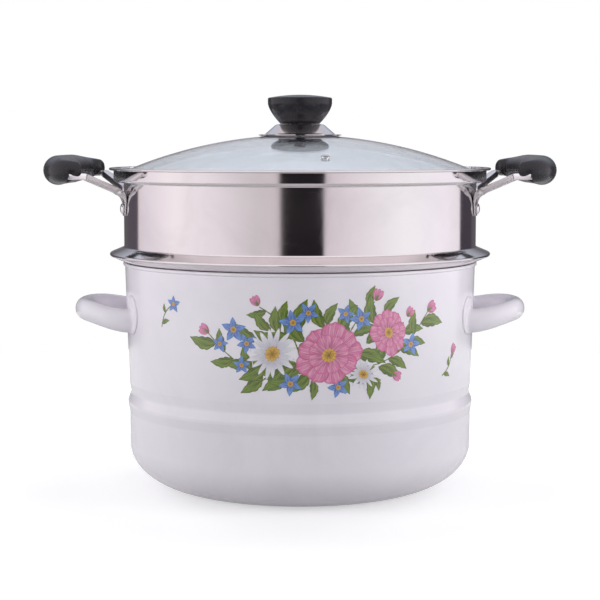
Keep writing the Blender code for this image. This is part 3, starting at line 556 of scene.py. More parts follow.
# %% A bar along a curve
def bar(name, points, radii, resolution):
    """A round bar along points, as a closed mesh."""
    select_only()
    bpy.ops.curve.primitive_bezier_curve_add(location=(0.0, 0.0, 0.0))
    line = bpy.context.object
    line.name = name
    data = line.data
    data.splines.clear()
    spline = data.splines.new("POLY")
    spline.points.add(len(points) - 1)
    for knot, point, radius in zip(spline.points, points, radii):
        knot.co = (*point, 1.0)
        knot.radius = radius
    data.twist_mode = "Z_UP"
    data.bevel_depth = 1.0
    data.bevel_resolution = resolution
    data.use_fill_caps = True
    bpy.ops.object.convert(target="MESH")
    piece = bpy.context.object
    bpy.ops.object.mode_set(mode="EDIT")
    heal()
    return piece


def ease(value):
    value = min(1.0, max(0.0, value))
    return value * value * (3.0 - 2.0 * value)


# %% Ears
EAR_HALF_SPAN = 0.048
EAR_REACH = 0.0405
EAR_WIDTH = 0.0150
EAR_DEPTH_IN_WALL = 0.012
EAR_BOW = 0.85  # below 1, the loop is squarer than an ellipse
EAR_TALL, EAR_THINNING = 1.27, 0.12  # height of the bar by its width, and how much less at the tip
EAR_Z = 0.1372
EAR_RISE = 0.0062
EAR_STEPS = 48
PLATE_WIDTH, PLATE_HEIGHT, PLATE_BLANK = 0.028, 0.031, 0.012  # a plate is cut from a longer blank
PLATE_LIFT, PLATE_THICKNESS = 0.0045, 0.0016
WELD_GAP = 0.00005
VOXEL = 0.0011


def grown_pot(name, growth):
    """The pot without its hollow and grown a little, to cut with."""
    line = [(0.0, outside[0][1])] + inset(outside, -growth)[:-1] + [(0.0, -growth)]
    return turned(name, line)


ear_root = sqrt(POT_TOP ** 2 - EAR_HALF_SPAN ** 2)
ear_tip = POT_TOP + EAR_REACH - EAR_WIDTH / 2.0
ear_line = [(ear_root - EAR_DEPTH_IN_WALL, -EAR_HALF_SPAN, 0.0)]
for step in range(EAR_STEPS + 1):
    angle = pi * step / EAR_STEPS
    bow = abs(sin(angle)) ** EAR_BOW
    ear_line.append((ear_root + (ear_tip - ear_root) * bow, -EAR_HALF_SPAN * cos(angle), 0.0))
ear_line.append((ear_root - EAR_DEPTH_IN_WALL, EAR_HALF_SPAN, 0.0))
ear = bar("pot_ear", ear_line, [EAR_WIDTH / 2.0] * len(ear_line), 8)
for vertex in ear.data.vertices:
    share = ease((vertex.co.x - ear_root) / (ear_tip - ear_root))
    vertex.co.z = vertex.co.z * (EAR_TALL - EAR_THINNING * share) + EAR_Z + EAR_RISE * share

plate_swing = asin(EAR_HALF_SPAN / POT_TOP)
plates = []
for swing in (-plate_swing, plate_swing):
    plate = added(
        bpy.ops.mesh.primitive_cylinder_add, vertices=64, radius=PLATE_HEIGHT / 2.0, depth=PLATE_BLANK,
        location=(*polar(POT_TOP, swing), EAR_Z + PLATE_LIFT), rotation=(0.0, pi / 2.0, swing))
    plate.scale.y = PLATE_WIDTH / PLATE_HEIGHT
    plates.append(settle(plate))
plate_skin = grown_pot("plate_skin", PLATE_THICKNESS)
for plate in plates:
    boolean(plate, copied(plate_skin, "plate_tool", Matrix.Identity(4)), "INTERSECT")
discard(plate_skin)
ear = joined(*plates, ear)
add_modifier(ear, "REMESH", mode="VOXEL", voxel_size=VOXEL)
add_modifier(ear, "SMOOTH", factor=0.5, iterations=6)
apply_modifiers(ear)
boolean(ear, grown_pot("wall_tool", WELD_GAP))
dressed_pair(settle(ear, 50.0), "ear", enamel, "pot", "enamel", "pot_ear")

# %% [markdown]
# ## The printed flowers
#
# A decal is fired onto the enamel at the front: here a plain garland of garden flowers in pinks,
# blues, white and greens. A real decal is a thin film, so it is built as one: flat petals and
# leaves, laid over each other in thin layers and then wrapped round the wall. Each shape is drawn
# once, as a grid whose UV map runs from foot to tip, so that the paint can darken along it.


# %% Motif shapes, one unit long, from a grid
def motif(outline):
    """A grid drawn out to an outline, which places a point by t along and s across."""
    shape = added(bpy.ops.mesh.primitive_grid_add, x_subdivisions=12, y_subdivisions=8, size=2.0)
    shape.name = outline.__name__
    for vertex in shape.data.vertices:
        vertex.co.x, vertex.co.y = outline((vertex.co.x + 1.0) / 2.0, vertex.co.y)
    return shape


def broad_petal(t, s):
    teeth = 0.05 * (0.5 - 0.5 * cos(3.0 * pi * s)) * ease((t - 0.6) / 0.4)
    return t * (1.0 - 0.20 * s * s - teeth), s * (0.05 + 0.30 * ease(t / 0.85))


def ray_petal(t, s):
    return t * (1.0 - 0.08 * s * s), s * 0.115 * sin(pi * (0.10 + 0.82 * t)) ** 0.6


def star_petal(t, s):
    return t, s * (0.26 * sin(pi * t ** 0.75) + 0.01)


def leaf_blade(t, s):
    saw = 1.0 + 0.10 * sin(26.0 * t) * abs(s) ** 3
    return t, s * saw * (0.20 * sin(pi * t ** 0.8) + 0.008) + 0.10 * sin(pi * t)


def bud_cup(t, s):
    return t, s * (0.27 * sin(pi * (0.04 + 0.9 * t)) ** 0.8)


def stem_strip(t, s):
    return t, s * (0.5 - 0.2 * t)


shapes = {outline.__name__: motif(outline) for outline in
          (broad_petal, ray_petal, star_petal, leaf_blade, bud_cup, stem_strip)}
print("motif shapes:", list(shapes))

# %% Wrap flat pieces round the wall
LAYER = 0.000015
PRINT_LIFT = 0.00007
PRINT_MIDDLE = (0.015, 0.1235)  # along the wall from the front, and height
MM = 0.001
wall_foot_z = GROOVE_Z + BEAD_DROP
wall_lean = (POT_TOP - POT_WAIST) / (outside[0][1] - wall_foot_z)


def onto_wall(flat_point):
    """A print point (along, up, layer) on the leaning wall."""
    height = flat_point.y + PRINT_MIDDLE[1]
    radius = POT_WAIST + wall_lean * (height - wall_foot_z) + PRINT_LIFT + LAYER * flat_point.z
    swing = (flat_point.x + PRINT_MIDDLE[0]) / POT_WAIST - pi / 2.0
    return Vector((*polar(radius, swing), height))


inks = {"leaf": [], "pink": [], "white": [], "blue": [], "gold": []}


def lay(shape, ink, place, size, angle, layer, squash=1.0, squash_angle=0.0):
    """Lays one copy of a motif on the flat print. Sizes and places are in millimetres."""
    lean = spin(squash_angle)
    pressed_flat = lean @ Matrix.Diagonal((1.0, squash, 1.0, 1.0)) @ lean.inverted()
    matrix = shift(place[0] * MM, place[1] * MM, layer) @ pressed_flat
    matrix = matrix @ spin(angle) @ Matrix.Scale(size * MM, 4)
    inks[ink].append(copied(shapes[shape], f"{ink}_{len(inks[ink])}", matrix))


# %% Flowers, stems and buds
chance = random.Random(4)
HEART_CUPS = 12
STEM_STRIPS = 10
STEM_WIDTH = 1.1  # in millimetres
STRIP_OVERLAP = 1.06


def flower(shape, ink, place, reach, count, layer, heart=0.22, **pressed):
    """A ring of petals whose neighbours lie on alternate layers, round a dotted heart."""
    turn_by = chance.uniform(0.0, 1.0)
    for index in range(count):
        angle = turn_by + 2.0 * pi * index / count + chance.uniform(-0.07, 0.07)
        lay(shape, ink, place, reach * chance.uniform(0.92, 1.04), angle, layer + index % 2, **pressed)
    if shape == "broad_petal":
        for index in range(count - 1):
            angle = turn_by + 2.0 * pi * (index + 0.4) / (count - 1)
            size = reach * chance.uniform(0.60, 0.68)
            lay(shape, ink, place, size, angle, layer + 2 + index % 2, **pressed)
    for index in range(HEART_CUPS):
        angle = 2.0 * pi * index / HEART_CUPS
        lay("bud_cup", "gold", place, reach * heart, angle, layer + 4 + index % 2 * 0.5, **pressed)


def sprig(start_at, finish_at, sag, leaves, leaf_size):
    """A bent stem of short strips, with leaves set alternately along it."""
    first, last = Vector(start_at), Vector(finish_at)
    across_it = Vector((first.y - last.y, last.x - first.x)).normalized() * sag
    knots = [first.lerp(last, k / STEM_STRIPS) + across_it * sin(pi * k / STEM_STRIPS)
             for k in range(STEM_STRIPS + 1)]
    for index, (here, there) in enumerate(zip(knots, knots[1:])):
        step = there - here
        strip = shift(here.x * MM, here.y * MM, index % 2 * 0.5)
        strip = strip @ spin(atan2(step.y, step.x))
        strip = strip @ Matrix.Diagonal((step.length * STRIP_OVERLAP * MM, STEM_WIDTH * MM, 1.0, 1.0))
        inks["leaf"].append(copied(shapes["stem_strip"], f"stem_{len(inks['leaf'])}", strip))
    for index in range(leaves):
        where = (index + 0.6) / leaves * STEM_STRIPS
        step = knots[min(int(where) + 1, STEM_STRIPS)] - knots[max(int(where) - 1, 0)]
        side = 1 if index % 2 else -1
        angle = atan2(step.y, step.x) + side * chance.uniform(0.55, 0.95)
        size = leaf_size * chance.uniform(0.8, 1.15)
        lay("leaf_blade", "leaf", knots[int(where)], size, angle, 1 + index % 3 * 0.6)


def bud(place, size, angle):
    for fan in (-0.35, 0.0, 0.35):
        lay("bud_cup", "pink", place, size, angle + fan, 5 + abs(fan))


# %% The garland
STEMS = [  # from, to, bend, leaves and their length
    ((-8, -14), (-84, 12), 13, 8, 21), ((4, -12), (88, 26), -15, 9, 22),
    ((-14, -8), (-44, 33), -7, 4, 16), ((16, -8), (40, 36), 6, 4, 16),
    ((-4, -14), (46, -22), 5, 5, 12), ((-2, -12), (-46, -23), -5, 5, 12)]
LEAVES = [  # along, up, length and direction
    (-18, -8, 26, 3.6), (-12, 8, 25, 2.2), (14, 14, 24, 1.0), (26, -2, 25, -0.3), (8, -14, 22, -0.9),
    (-8, -14, 22, -2.4), (-40, -8, 24, 3.7), (-46, 8, 22, 2.5), (44, -12, 22, -0.5), (60, 2, 22, -0.4),
    (40, 20, 22, 1.7), (-28, -12, 22, -2.3), (20, -20, 20, -0.2), (48, 26, 18, 0.8), (-30, 14, 20, 1.7),
    (34, -16, 20, -1.4), (-16, 16, 24, 1.3), (2, 18, 22, 1.9), (-26, 8, 24, 2.8), (34, 6, 24, 0.5),
    (-6, -20, 15, -1.6), (24, 12, 20, 0.3), (-20, -18, 18, -2.9), (4, 20, 18, 1.1), (-52, -6, 20, 3.3),
    (64, 12, 20, 0.1), (30, 26, 16, 2.2), (-36, 16, 18, 2.3)]
STARS = [  # along, up and reach
    (-64, 16, 10), (-54, 6, 8), (-75, 5, 7), (-20, 22, 10), (-9, 29, 8), (30, 24, 9), (72, 3, 9),
    (-22, -23, 9), (13, -26, 8), (-58, -10, 7), (18, 28, 7)]
BUDS = [  # along, up, length and direction
    (-84, 13, 9, 2.7), (88, 27, 10, 0.5), (-45, 34, 8, 2.1), (41, 37, 9, 1.2), (68, 24, 8, 0.9),
    (56, -18, 8, -0.4)]

for stem in STEMS:
    sprig(*stem)
for along, up, size, angle in LEAVES:
    lay("leaf_blade", "leaf", (along, up), size, angle, 1.5 + chance.uniform(0.0, 2.0))
flower("broad_petal", "pink", (6, -2), 26, 9, 8, squash=0.90, squash_angle=0.4)
flower("broad_petal", "pink", (52, 13), 19, 8, 8, squash=0.80, squash_angle=1.9)
flower("ray_petal", "white", (-35, -1), 20, 16, 6, squash=0.88, squash_angle=0.9, heart=0.30)
flower("ray_petal", "white", (32, -17), 13, 14, 5, squash=0.85, squash_angle=2.6, heart=0.30)
for along, up, reach_out in STARS:
    flower("star_petal", "blue", (along, up), reach_out, 5, 4, heart=0.24)
for along, up, size, angle in BUDS:
    bud((along, up), size, angle)
    lay("bud_cup", "leaf", (along, up), size * 0.45, angle, 7)

# two small sprigs stand apart from the garland
sprig((-131, 14), (-117, 32), 3, 3, 8)
flower("star_petal", "blue", (-117, 32), 7, 5, 4, heart=0.24)
sprig((108, -24), (121, -8), -3, 3, 8)
bud((121, -8), 8, 0.9)
print({ink: len(pieces) for ink, pieces in inks.items()})

# %% [markdown]
# Paint behaves alike in every petal: it is deepest at the foot, thins towards the tip, gathers at
# the edges and runs in fine streaks. One group gives these three masks from the UV map, and each
# ink mixes its own colours with them. Over the ink lies the same gloss as on the enamel.

# %% Paint strokes
EDGE_SHARE = 0.65
INKS = {  # colours of the foot, the tip, the edges and the streaks, and how strong the streaks are
    "leaf": ((0.016, 0.05, 0.014), (0.11, 0.2, 0.032), (0.022, 0.06, 0.02), (0.42, 0.48, 0.09), 0.6),
    "pink": ((0.27, 0.012, 0.095), (0.69, 0.2, 0.38), (0.47, 0.07, 0.2), (0.86, 0.54, 0.67), 0.6),
    "white": ((0.33, 0.31, 0.4), (0.86, 0.85, 0.88), (0.48, 0.46, 0.56), (0.74, 0.73, 0.79), 0.5),
    "blue": ((0.018, 0.045, 0.27), (0.13, 0.29, 0.69), (0.04, 0.095, 0.39), (0.43, 0.59, 0.86), 0.5),
    "gold": ((0.15, 0.03, 0.012), (0.76, 0.42, 0.05), (0.22, 0.06, 0.015), (0.9, 0.68, 0.16), 0.6),
}

stroke, taken, given = group("paint_stroke", {"Along": None, "Place": None}, "Depth", "Edge", "Streak")
uv = node("SeparateXYZ", {"Vector": taken["Along"]})
blot_shift = between(noise(taken["Place"], 260.0, 3.0), -0.30, 0.30)
fill(given["Depth"], sums("ADD", uv["X"], blot_shift, use_clamp=True))
to_side = sums("ABSOLUTE", sums("SUBTRACT", uv["Y"], 0.5))
side_edge, tip_edge = ranged(to_side, (0.36, 0.50)), ranged(uv["X"], (0.90, 1.0))
fill(given["Edge"], sums("MAXIMUM", side_edge, tip_edge))
stretched = node("VectorMath", {0: taken["Along"], 1: (1.6, 17.0, 1.0)}, operation="MULTIPLY")
streaks = noise(stretched[0], 1.0, 2.0)
fill(given["Streak"], ranged(streaks, (0.40, 0.66)))


def ink_finish(name, foot, tip, edge_colour, streak_colour, streak_share):
    made, shader, place = blank_material(name, {"Coat Weight": 0.6, "Coat Roughness": 0.07})
    masks = use(stroke, Along=node("TexCoord")["UV"], Place=place)
    colour = blend(masks["Depth"], foot, tip)
    streaked = sums("MULTIPLY", masks["Streak"], streak_share)
    colour = blend(streaked, colour, streak_colour)
    edged = sums("MULTIPLY", masks["Edge"], EDGE_SHARE)
    fill(shader["Base Color"], blend(edged, colour, edge_colour))
    wiped_skin(shader, place, (0.18, 0.27), *ENAMEL_WAVES)
    return made


for ink, pieces in inks.items():
    film = joined(*pieces)
    film.name = f"print_{ink}"
    for vertex in film.data.vertices:
        vertex.co = onto_wall(vertex.co)
    settle(film, 60.0)
    dressed(film, ink_finish(f"{ink}_ink", *INKS[ink]), "pot", "enamel")
    print(f"print_{ink}: {len(film.data.polygons)} faces")
discard(*shapes.values())

# %% [markdown]
# ## The steamer tier
#
# The tier is a single sheet, spun from the flange at the top down to a perforated floor. The lid
# lies on the ledge at the foot of the neck. The pinched bead low on the wall stands on the pot's
# rolled rim, and the nose below it drops into the pot and centres the tier. The steam holes are
# punched in rings, which a single boolean cut gives.

# %% Tier shell
SHEET = 0.0008
PLAY = 0.0012  # of the tier in the pot, and of the lid in the tier
TIER = 0.1404
SEAT_EDGE, SEAT_RISE, SEAT_ROOT, SEAT_ROUND = 0.1540, 0.0063, 0.0056, 0.0014
LEDGE_Z = POT_HEIGHT + 0.0632
NECK, NECK_HEIGHT = 0.1484, 0.0113
FLANGE, FLANGE_THICKNESS = 0.1519, 0.0020
NOSE = POT_TOP - POT_WALL - PLAY
NOSE_DEPTH = 0.018
TOUCH = 0.0003  # the gap that stands for a touching pair
TURN_IN = 0.0004  # where the flange turns down into the neck

across, up = SEAT_EDGE - rim_centre, SEAT_RISE + RIM_ROLL
seat_slope = atan2(up, across) - asin((RIM_ROLL + TOUCH) / hypot(across, up))
seat_foot = POT_HEIGHT + SEAT_RISE - (SEAT_EDGE - NOSE) * tan(seat_slope)
flange_z = LEDGE_Z + NECK_HEIGHT
lip = FLANGE_THICKNESS / 2.0
tier_outside = rounded([
    (NECK, flange_z - FLANGE_THICKNESS),
    (NECK, LEDGE_Z, 0.0022),
    (TIER, LEDGE_Z, 0.0012),
    (TIER, POT_HEIGHT + SEAT_RISE + SEAT_ROOT, 0.0020),
    (SEAT_EDGE, POT_HEIGHT + SEAT_RISE, SEAT_ROUND),
    (NOSE, seat_foot, 0.0015),
    (NOSE, POT_HEIGHT - NOSE_DEPTH, 0.008),
    (0.0, POT_HEIGHT - NOSE_DEPTH),
], 7)
tier_inside = inset(tier_outside, SHEET)
tier_inside[-1] = (0.0, POT_HEIGHT - NOSE_DEPTH + SHEET)
tier_lip = [(NECK - SHEET, flange_z - TURN_IN), (NECK - SHEET + TURN_IN, flange_z)]
tier_lip += arc(FLANGE - lip, flange_z - lip, lip, 90.0, -90.0, 10)
tier = turned("steamer_tier", tier_inside[::-1] + tier_lip + tier_outside)

# %% Steam holes
HOLE_RADIUS, HOLE_PITCH, HOLE_RINGS = 0.0035, 0.024, 4
PUNCH_LENGTH = 0.006
PUNCH_TURN = 0.02  # so that the cut has no edge along an edge of the floor
punch = settle(added(
    bpy.ops.mesh.primitive_cylinder_add, vertices=24, radius=HOLE_RADIUS, depth=PUNCH_LENGTH,
    location=(0.0, 0.0, POT_HEIGHT - NOSE_DEPTH), rotation=(0.0, 0.0, PUNCH_TURN)))
punches = [punch]
for ring in range(1, HOLE_RINGS + 1):
    for index in range(6 * ring):
        swing = 2.0 * pi * index / (6 * ring)
        spot = shift(*polar(HOLE_PITCH * ring, swing), 0.0)
        punches.append(copied(punch, f"punch_{ring}_{index}", spot))
boolean(tier, joined(*punches[1:], punch))
print(f"{len(punches)} steam holes")
dressed(settle(tier), polished, "steamer", "steel", "steamer_body")

# %% [markdown]
# ## The handles' legs
#
# Each leg is pressed from sheet: a flat foot riveted to the wall, which narrows into a channel that
# runs under the flange and out to the grip. A grid is laid along the leg's line and folded across
# into a channel, Solidify gives it the sheet's thickness, and Bevel takes off the sharp edges. The
# arms splay out from the feet, so each station is turned round the pot's axis, and two of the four
# legs are mirrored.

# %% Leg line
LEG_SWING = radians(23.0)
FOOT_SWING = radians(13.0)
LEG_SHEET = 0.0012
LEG_SLOPE = tan(radians(21.0))
LEG_FACE = TIER + TOUCH
FOOT_LENGTH = 0.0199
FOOT_STATIONS = (0.0, 0.04, 0.09, 0.16, 0.28, 0.42, 0.54)  # close together where the foot is round
GRIP_END = FLANGE + 0.0291
ARM_IN_GRIP = 0.0100
NECK_GAP = 0.0033  # from the ledge down to the arm, at the neck's radius
LEVEL_START = 0.0035  # where the arm turns level, before the grip's end
NECK_BEND, GRIP_BEND = 0.011, 0.012  # radii of the leg's two bends

under_neck = LEDGE_Z - NECK_GAP
leg_bend_z = under_neck - (NECK - LEG_FACE) * LEG_SLOPE
level_x = GRIP_END - LEVEL_START
arm_z = under_neck + (level_x - NECK) * LEG_SLOPE
arm_end = GRIP_END + ARM_IN_GRIP
foot_z = leg_bend_z - FOOT_LENGTH
leg_line = [(LEG_FACE, foot_z + FOOT_LENGTH * share) for share in FOOT_STATIONS]
leg_line += rounded([
    (LEG_FACE, foot_z),
    (LEG_FACE, leg_bend_z, NECK_BEND),
    (level_x, arm_z, GRIP_BEND),
    (arm_end, arm_z),
], 10)[1:]
leg_lengths = [0.0]
for here, there in zip(leg_line, leg_line[1:]):
    leg_lengths.append(leg_lengths[-1] + dist(here, there))
print(f"leg: {leg_lengths[-1] * 1000:.1f} mm long, arm at {arm_z * 1000:.1f} mm")


# %% Leg
def follow(value, stops):
    """Straight-line value between (place, value) stops."""
    for (low, first), (high, last) in zip(stops, stops[1:]):
        if value <= high:
            return first + (last - first) * max(0.0, (value - low) / (high - low))
    return stops[-1][1]


# by the length along the leg: half its width, and how deep its edges are folded down
leg_end = leg_lengths[-1]
half_widths = [(0.0, 0.0030), (0.0009, 0.0048), (0.002, 0.0060), (FOOT_LENGTH, 0.0140),
               (FOOT_LENGTH + 0.016, 0.0056), (leg_end, 0.0049)]
flange_depths = [(0.0, 0.0007), (0.009, 0.0010), (FOOT_LENGTH, 0.0048), (leg_end, 0.0048)]
SECTION_HALF = 6
FOLD_RADIUS = 0.0014
WALL_CONTACT, CONTACT_FADE = FOOT_LENGTH * 0.7, 0.010  # up to where the foot is curved like the wall

last = len(leg_line) - 1
leg = added(bpy.ops.mesh.primitive_grid_add, x_subdivisions=last, y_subdivisions=2 * SECTION_HALF, size=2.0)
for vertex in leg.data.vertices:
    index = round((vertex.co.x + 1.0) / 2.0 * last)
    column = round(vertex.co.y * SECTION_HALF)
    along = Vector(leg_line[min(index + 1, last)]) - Vector(leg_line[max(index - 1, 0)])
    along.normalize()
    half = follow(leg_lengths[index], half_widths)
    depth = follow(leg_lengths[index], flange_depths)
    corner = min(FOLD_RADIUS, depth * 0.5)
    fold = corner * (1.0 - cos(pi / 4.0))
    section = ((0.0, 0.0), ((half - corner) * 0.5, 0.0), (half - corner, 0.0), (half - fold, fold),
               (half, corner), (half, (corner + depth) / 2.0), (half, depth))
    sideways, drop = section[abs(column)]
    on_wall = 1.0 - ease((leg_lengths[index] - WALL_CONTACT) / CONTACT_FADE)
    drop -= on_wall * sideways ** 2 / (2.0 * LEG_FACE)
    spot = Vector(leg_line[index]) + Vector((along.y, -along.x)) * drop
    splay = 1.0 - min(1.0, (leg_line[index][0] - LEG_FACE) / (level_x - LEG_FACE))
    vertex.co = (spot.x, copysign(sideways, column), spot.y)
    vertex.co = Matrix.Rotation((LEG_SWING - FOOT_SWING) * splay, 3, "Z") @ vertex.co
add_modifier(leg, "SOLIDIFY", thickness=LEG_SHEET, offset=-1.0, use_even_offset=True)
add_modifier(leg, "BEVEL", width=0.00025, segments=2, limit_method="ANGLE", angle_limit=radians(50.0))
apply_modifiers(leg)
settle(leg, 40.0)
mirror_leg = copied(leg, "mirror_leg", Matrix.Diagonal((1.0, -1.0, 1.0, 1.0)))
select_only(mirror_leg)
bpy.ops.object.mode_set(mode="EDIT")
heal(weld=False)
print(f"leg: {len(leg.data.polygons)} faces")

# %% [markdown]
# ## Rivets and grip screws
#
# A domed rivet holds each foot to the wall and is clenched flat inside. A pan-headed screw holds
# each grip from below, with a cross recess in its head. Both are turned, then stood on their axes.

# %% Rivet
RIVET_HEAD, RIVET_RISE, RIVET_SHANK = 0.0045, 0.0022, 0.0022
RIVET_LIFT = 0.0056  # of its middle over the foot's end
CLENCH, CLENCH_BACK, CLENCH_HEIGHT = 0.0040, 0.0037, 0.0012
UNDERCUT, RIVET_CHAMFER = 0.0001, 0.0003
SOLID_SIDES = 36  # flat sides of the coarse tier, under one of which the clench lies

head_z = LEG_FACE + LEG_SHEET + TOUCH - TIER
tail_z = (TIER - SHEET) * cos(pi / SOLID_SIDES) - TOUCH - TIER
rivet_line = [(0.0, head_z + RIVET_RISE)]
rivet_line += [(RIVET_HEAD * x, head_z + RIVET_RISE * y) for x, y in arc(0.0, 0.0, 1.0, 90.0, 0.0, 10)[1:]]
rivet_line += [(RIVET_HEAD - RIVET_CHAMFER, head_z - UNDERCUT), (RIVET_SHANK, head_z - UNDERCUT),
               (RIVET_SHANK, tail_z), (CLENCH, tail_z), (CLENCH_BACK, tail_z - CLENCH_HEIGHT),
               (0.0, tail_z - CLENCH_HEIGHT)]
rivet = turned("leg_rivet", rivet_line, SMALL)
stand_out = shift(TIER, 0.0, foot_z + RIVET_LIFT) @ spin(pi / 2.0, "Y")
rivet.data.transform(stand_out)


# %% Grip screw
def cross_screw(name, top, shank, seat, head, height, slot):
    """A pan-headed screw that points up, with a cross cut into its head."""
    line = [(0.0, top), (shank, top), (shank, seat), (head, seat)]
    line += [(head * x ** 0.5, seat - height * (0.3 + 0.7 * y)) for x, y in arc(0.0, 0.0, 1.0, 0.0, 77.0, 7)]
    screw = turned(name, line + [(0.0, seat - height)], SMALL)
    for turn in (0.0, pi / 2.0):
        boolean(screw, box((0.0, 0.0, seat - height), slot, turn))
    return settle(screw)


SCREW_SHANK, SCREW_HEAD, SCREW_HEAD_HEIGHT = 0.0018, 0.0033, 0.0020
SCREW_SLOT = (0.0034, 0.0007, 0.0020)
SCREW_REACH = 0.0055
SCREW_INSET = 0.0052  # from the arm's end
grip_screw = cross_screw("grip_screw", arm_z + SCREW_REACH, SCREW_SHANK, arm_z - LEG_SHEET - TOUCH,
                         SCREW_HEAD, SCREW_HEAD_HEIGHT, SCREW_SLOT)
grip_screw.data.transform(shift(arm_end - SCREW_INSET, 0.0, 0.0))

# %% Set legs, rivets and screws at the four corners
CORNERS = {  # the model, and how far round from +X the arm's end and the foot stand
    "left_front": (mirror_leg, pi + LEG_SWING, pi + FOOT_SWING),
    "left_rear": (leg, pi - LEG_SWING, pi - FOOT_SWING),
    "right_front": (leg, -LEG_SWING, -FOOT_SWING),
    "right_rear": (mirror_leg, LEG_SWING, FOOT_SWING),
}
for corner, (model, arm_swing, foot_swing) in CORNERS.items():
    for piece, name, swing, finish, solid in (
            (model, "leg", arm_swing, brushed, "handle_leg"),
            (rivet, "rivet", foot_swing, brushed, "leg_rivet"),
            (grip_screw, "screw", arm_swing, satin, "grip_screw")):
        placed = copied(piece, f"{name}_{corner}", spin(swing))
        dressed(placed, finish, "steamer", "steel", f"{solid}_{corner}")
discard(leg, mirror_leg, rivet, grip_screw)
print("legs, rivets and screws:", 3 * len(CORNERS))

# %% [markdown]
# ## The grips
#
# Each grip is a crescent that swells towards its middle, where the hand holds it, and narrows to
# its two ends, which turn in towards the pot. Its middle line is two mirrored Bezier curves. The
# ends are slotted from below for the arms, with edges left as the mould left them.

# %% Grips
GRIP_FAT, GRIP_THIN = 0.0115, 0.0068
GRIP_MIDDLE = GRIP_END + 0.0083
GRIP_LIFT = 0.0018
GRIP_STEPS, GRIP_CROWDING = 40, 1.3  # above 1, the steps are closer together at the ends
GRIP_START_PULL, GRIP_MIDDLE_PULL = 0.021, 0.62
SWELL_LENGTH = 0.040
END_ROUND, END_FACE = 0.0022, 0.62  # length of the rounding at an end, and the flat's share there
SLOT_START, SLOT_HALF_WIDTH = 0.010, 0.0056

start = polar(GRIP_END, -LEG_SWING)
leave = start + polar(GRIP_START_PULL, -LEG_SWING)
end = Vector((GRIP_MIDDLE, 0.0))
arrive = end - Vector((0.0, -start.y * GRIP_MIDDLE_PULL))
half_line = []
for step in range(GRIP_STEPS + 1):
    t = (step / GRIP_STEPS) ** GRIP_CROWDING
    s = 1.0 - t
    half_line.append(start * s ** 3 + leave * (3 * s * s * t) + arrive * (3 * s * t * t) + end * t ** 3)
grip_line = half_line + [Vector((point.x, -point.y)) for point in half_line[-2::-1]]
grip_radii = []
for point in grip_line:
    from_end = min((point - start).length, (point - Vector((start.x, -start.y))).length)
    swell = GRIP_THIN + (GRIP_FAT - GRIP_THIN) * sqrt(ease(from_end / SWELL_LENGTH))
    nose_round = sqrt(max(0.0, 1.0 - max(0.0, 1.0 - from_end / END_ROUND) ** 2))
    grip_radii.append(swell * (END_FACE + (1.0 - END_FACE) * nose_round))
grip = bar("grip", [(p.x, p.y, arm_z + GRIP_LIFT) for p in grip_line], grip_radii, 14)
slot_low, slot_high = GRIP_END - SLOT_START, arm_end + TOUCH
slot_sides = (slot_high - slot_low, 2.0 * (SLOT_HALF_WIDTH + TOUCH), 2.0 * GRIP_FAT)
for swing in (-LEG_SWING, LEG_SWING):
    slot_tool = box(((slot_low + slot_high) / 2.0, 0.0, arm_z + TOUCH - GRIP_FAT), slot_sides)
    slot_tool.data.transform(spin(swing))
    boolean(grip, slot_tool)
dressed_pair(settle(grip, 40.0), "grip", phenolic, "steamer", "phenolic", "handle_grip")

# %% [markdown]
# ## The lid
#
# The glass is pressed to a shallow dome and tempered. Its edge is held in a steel band, crimped
# over and under it, so that the glass never touches the ledge. A steel eyelet near the front lets
# steam out. Glass needs both its faces and a true thickness to bend light properly, so its outline
# runs out along the top and back along the underside.

# %% Glass pane
LID_Z = LEDGE_Z + SHEET
DOME, THICK = 0.356, 0.0036
UNDER_DOME = DOME - THICK
BAND, BAND_SHEET, BAND_LIP = NECK - SHEET - PLAY, 0.0007, 0.006
GLASS_EDGE = BAND - BAND_SHEET - TOUCH
GLASS_HOLE = 0.0055
GLASS_STEPS = 30
EDGE_ROUND, EDGE_ROUND_UNDER = 0.0006, 0.0004
glass_edge_z = TOUCH + BAND_SHEET + TOUCH
dome_centre = LID_Z + glass_edge_z - sqrt(UNDER_DOME ** 2 - GLASS_EDGE ** 2)
CROWN = dome_centre + DOME


def dome_z(radius, sphere=DOME):
    return dome_centre + sqrt(sphere ** 2 - radius ** 2)


stations = [GLASS_HOLE + (GLASS_EDGE - EDGE_ROUND - GLASS_HOLE) * step / GLASS_STEPS
            for step in range(GLASS_STEPS + 1)]
edge = [(GLASS_EDGE, dome_z(GLASS_EDGE) - EDGE_ROUND),
        (GLASS_EDGE, dome_z(GLASS_EDGE, UNDER_DOME) + EDGE_ROUND_UNDER)]
pane_line = [(r, dome_z(r)) for r in stations] + edge + [(r, dome_z(r, UNDER_DOME)) for r in stations[::-1]]
pane = turned_ring("glass_pane", pane_line, angle=50.0)

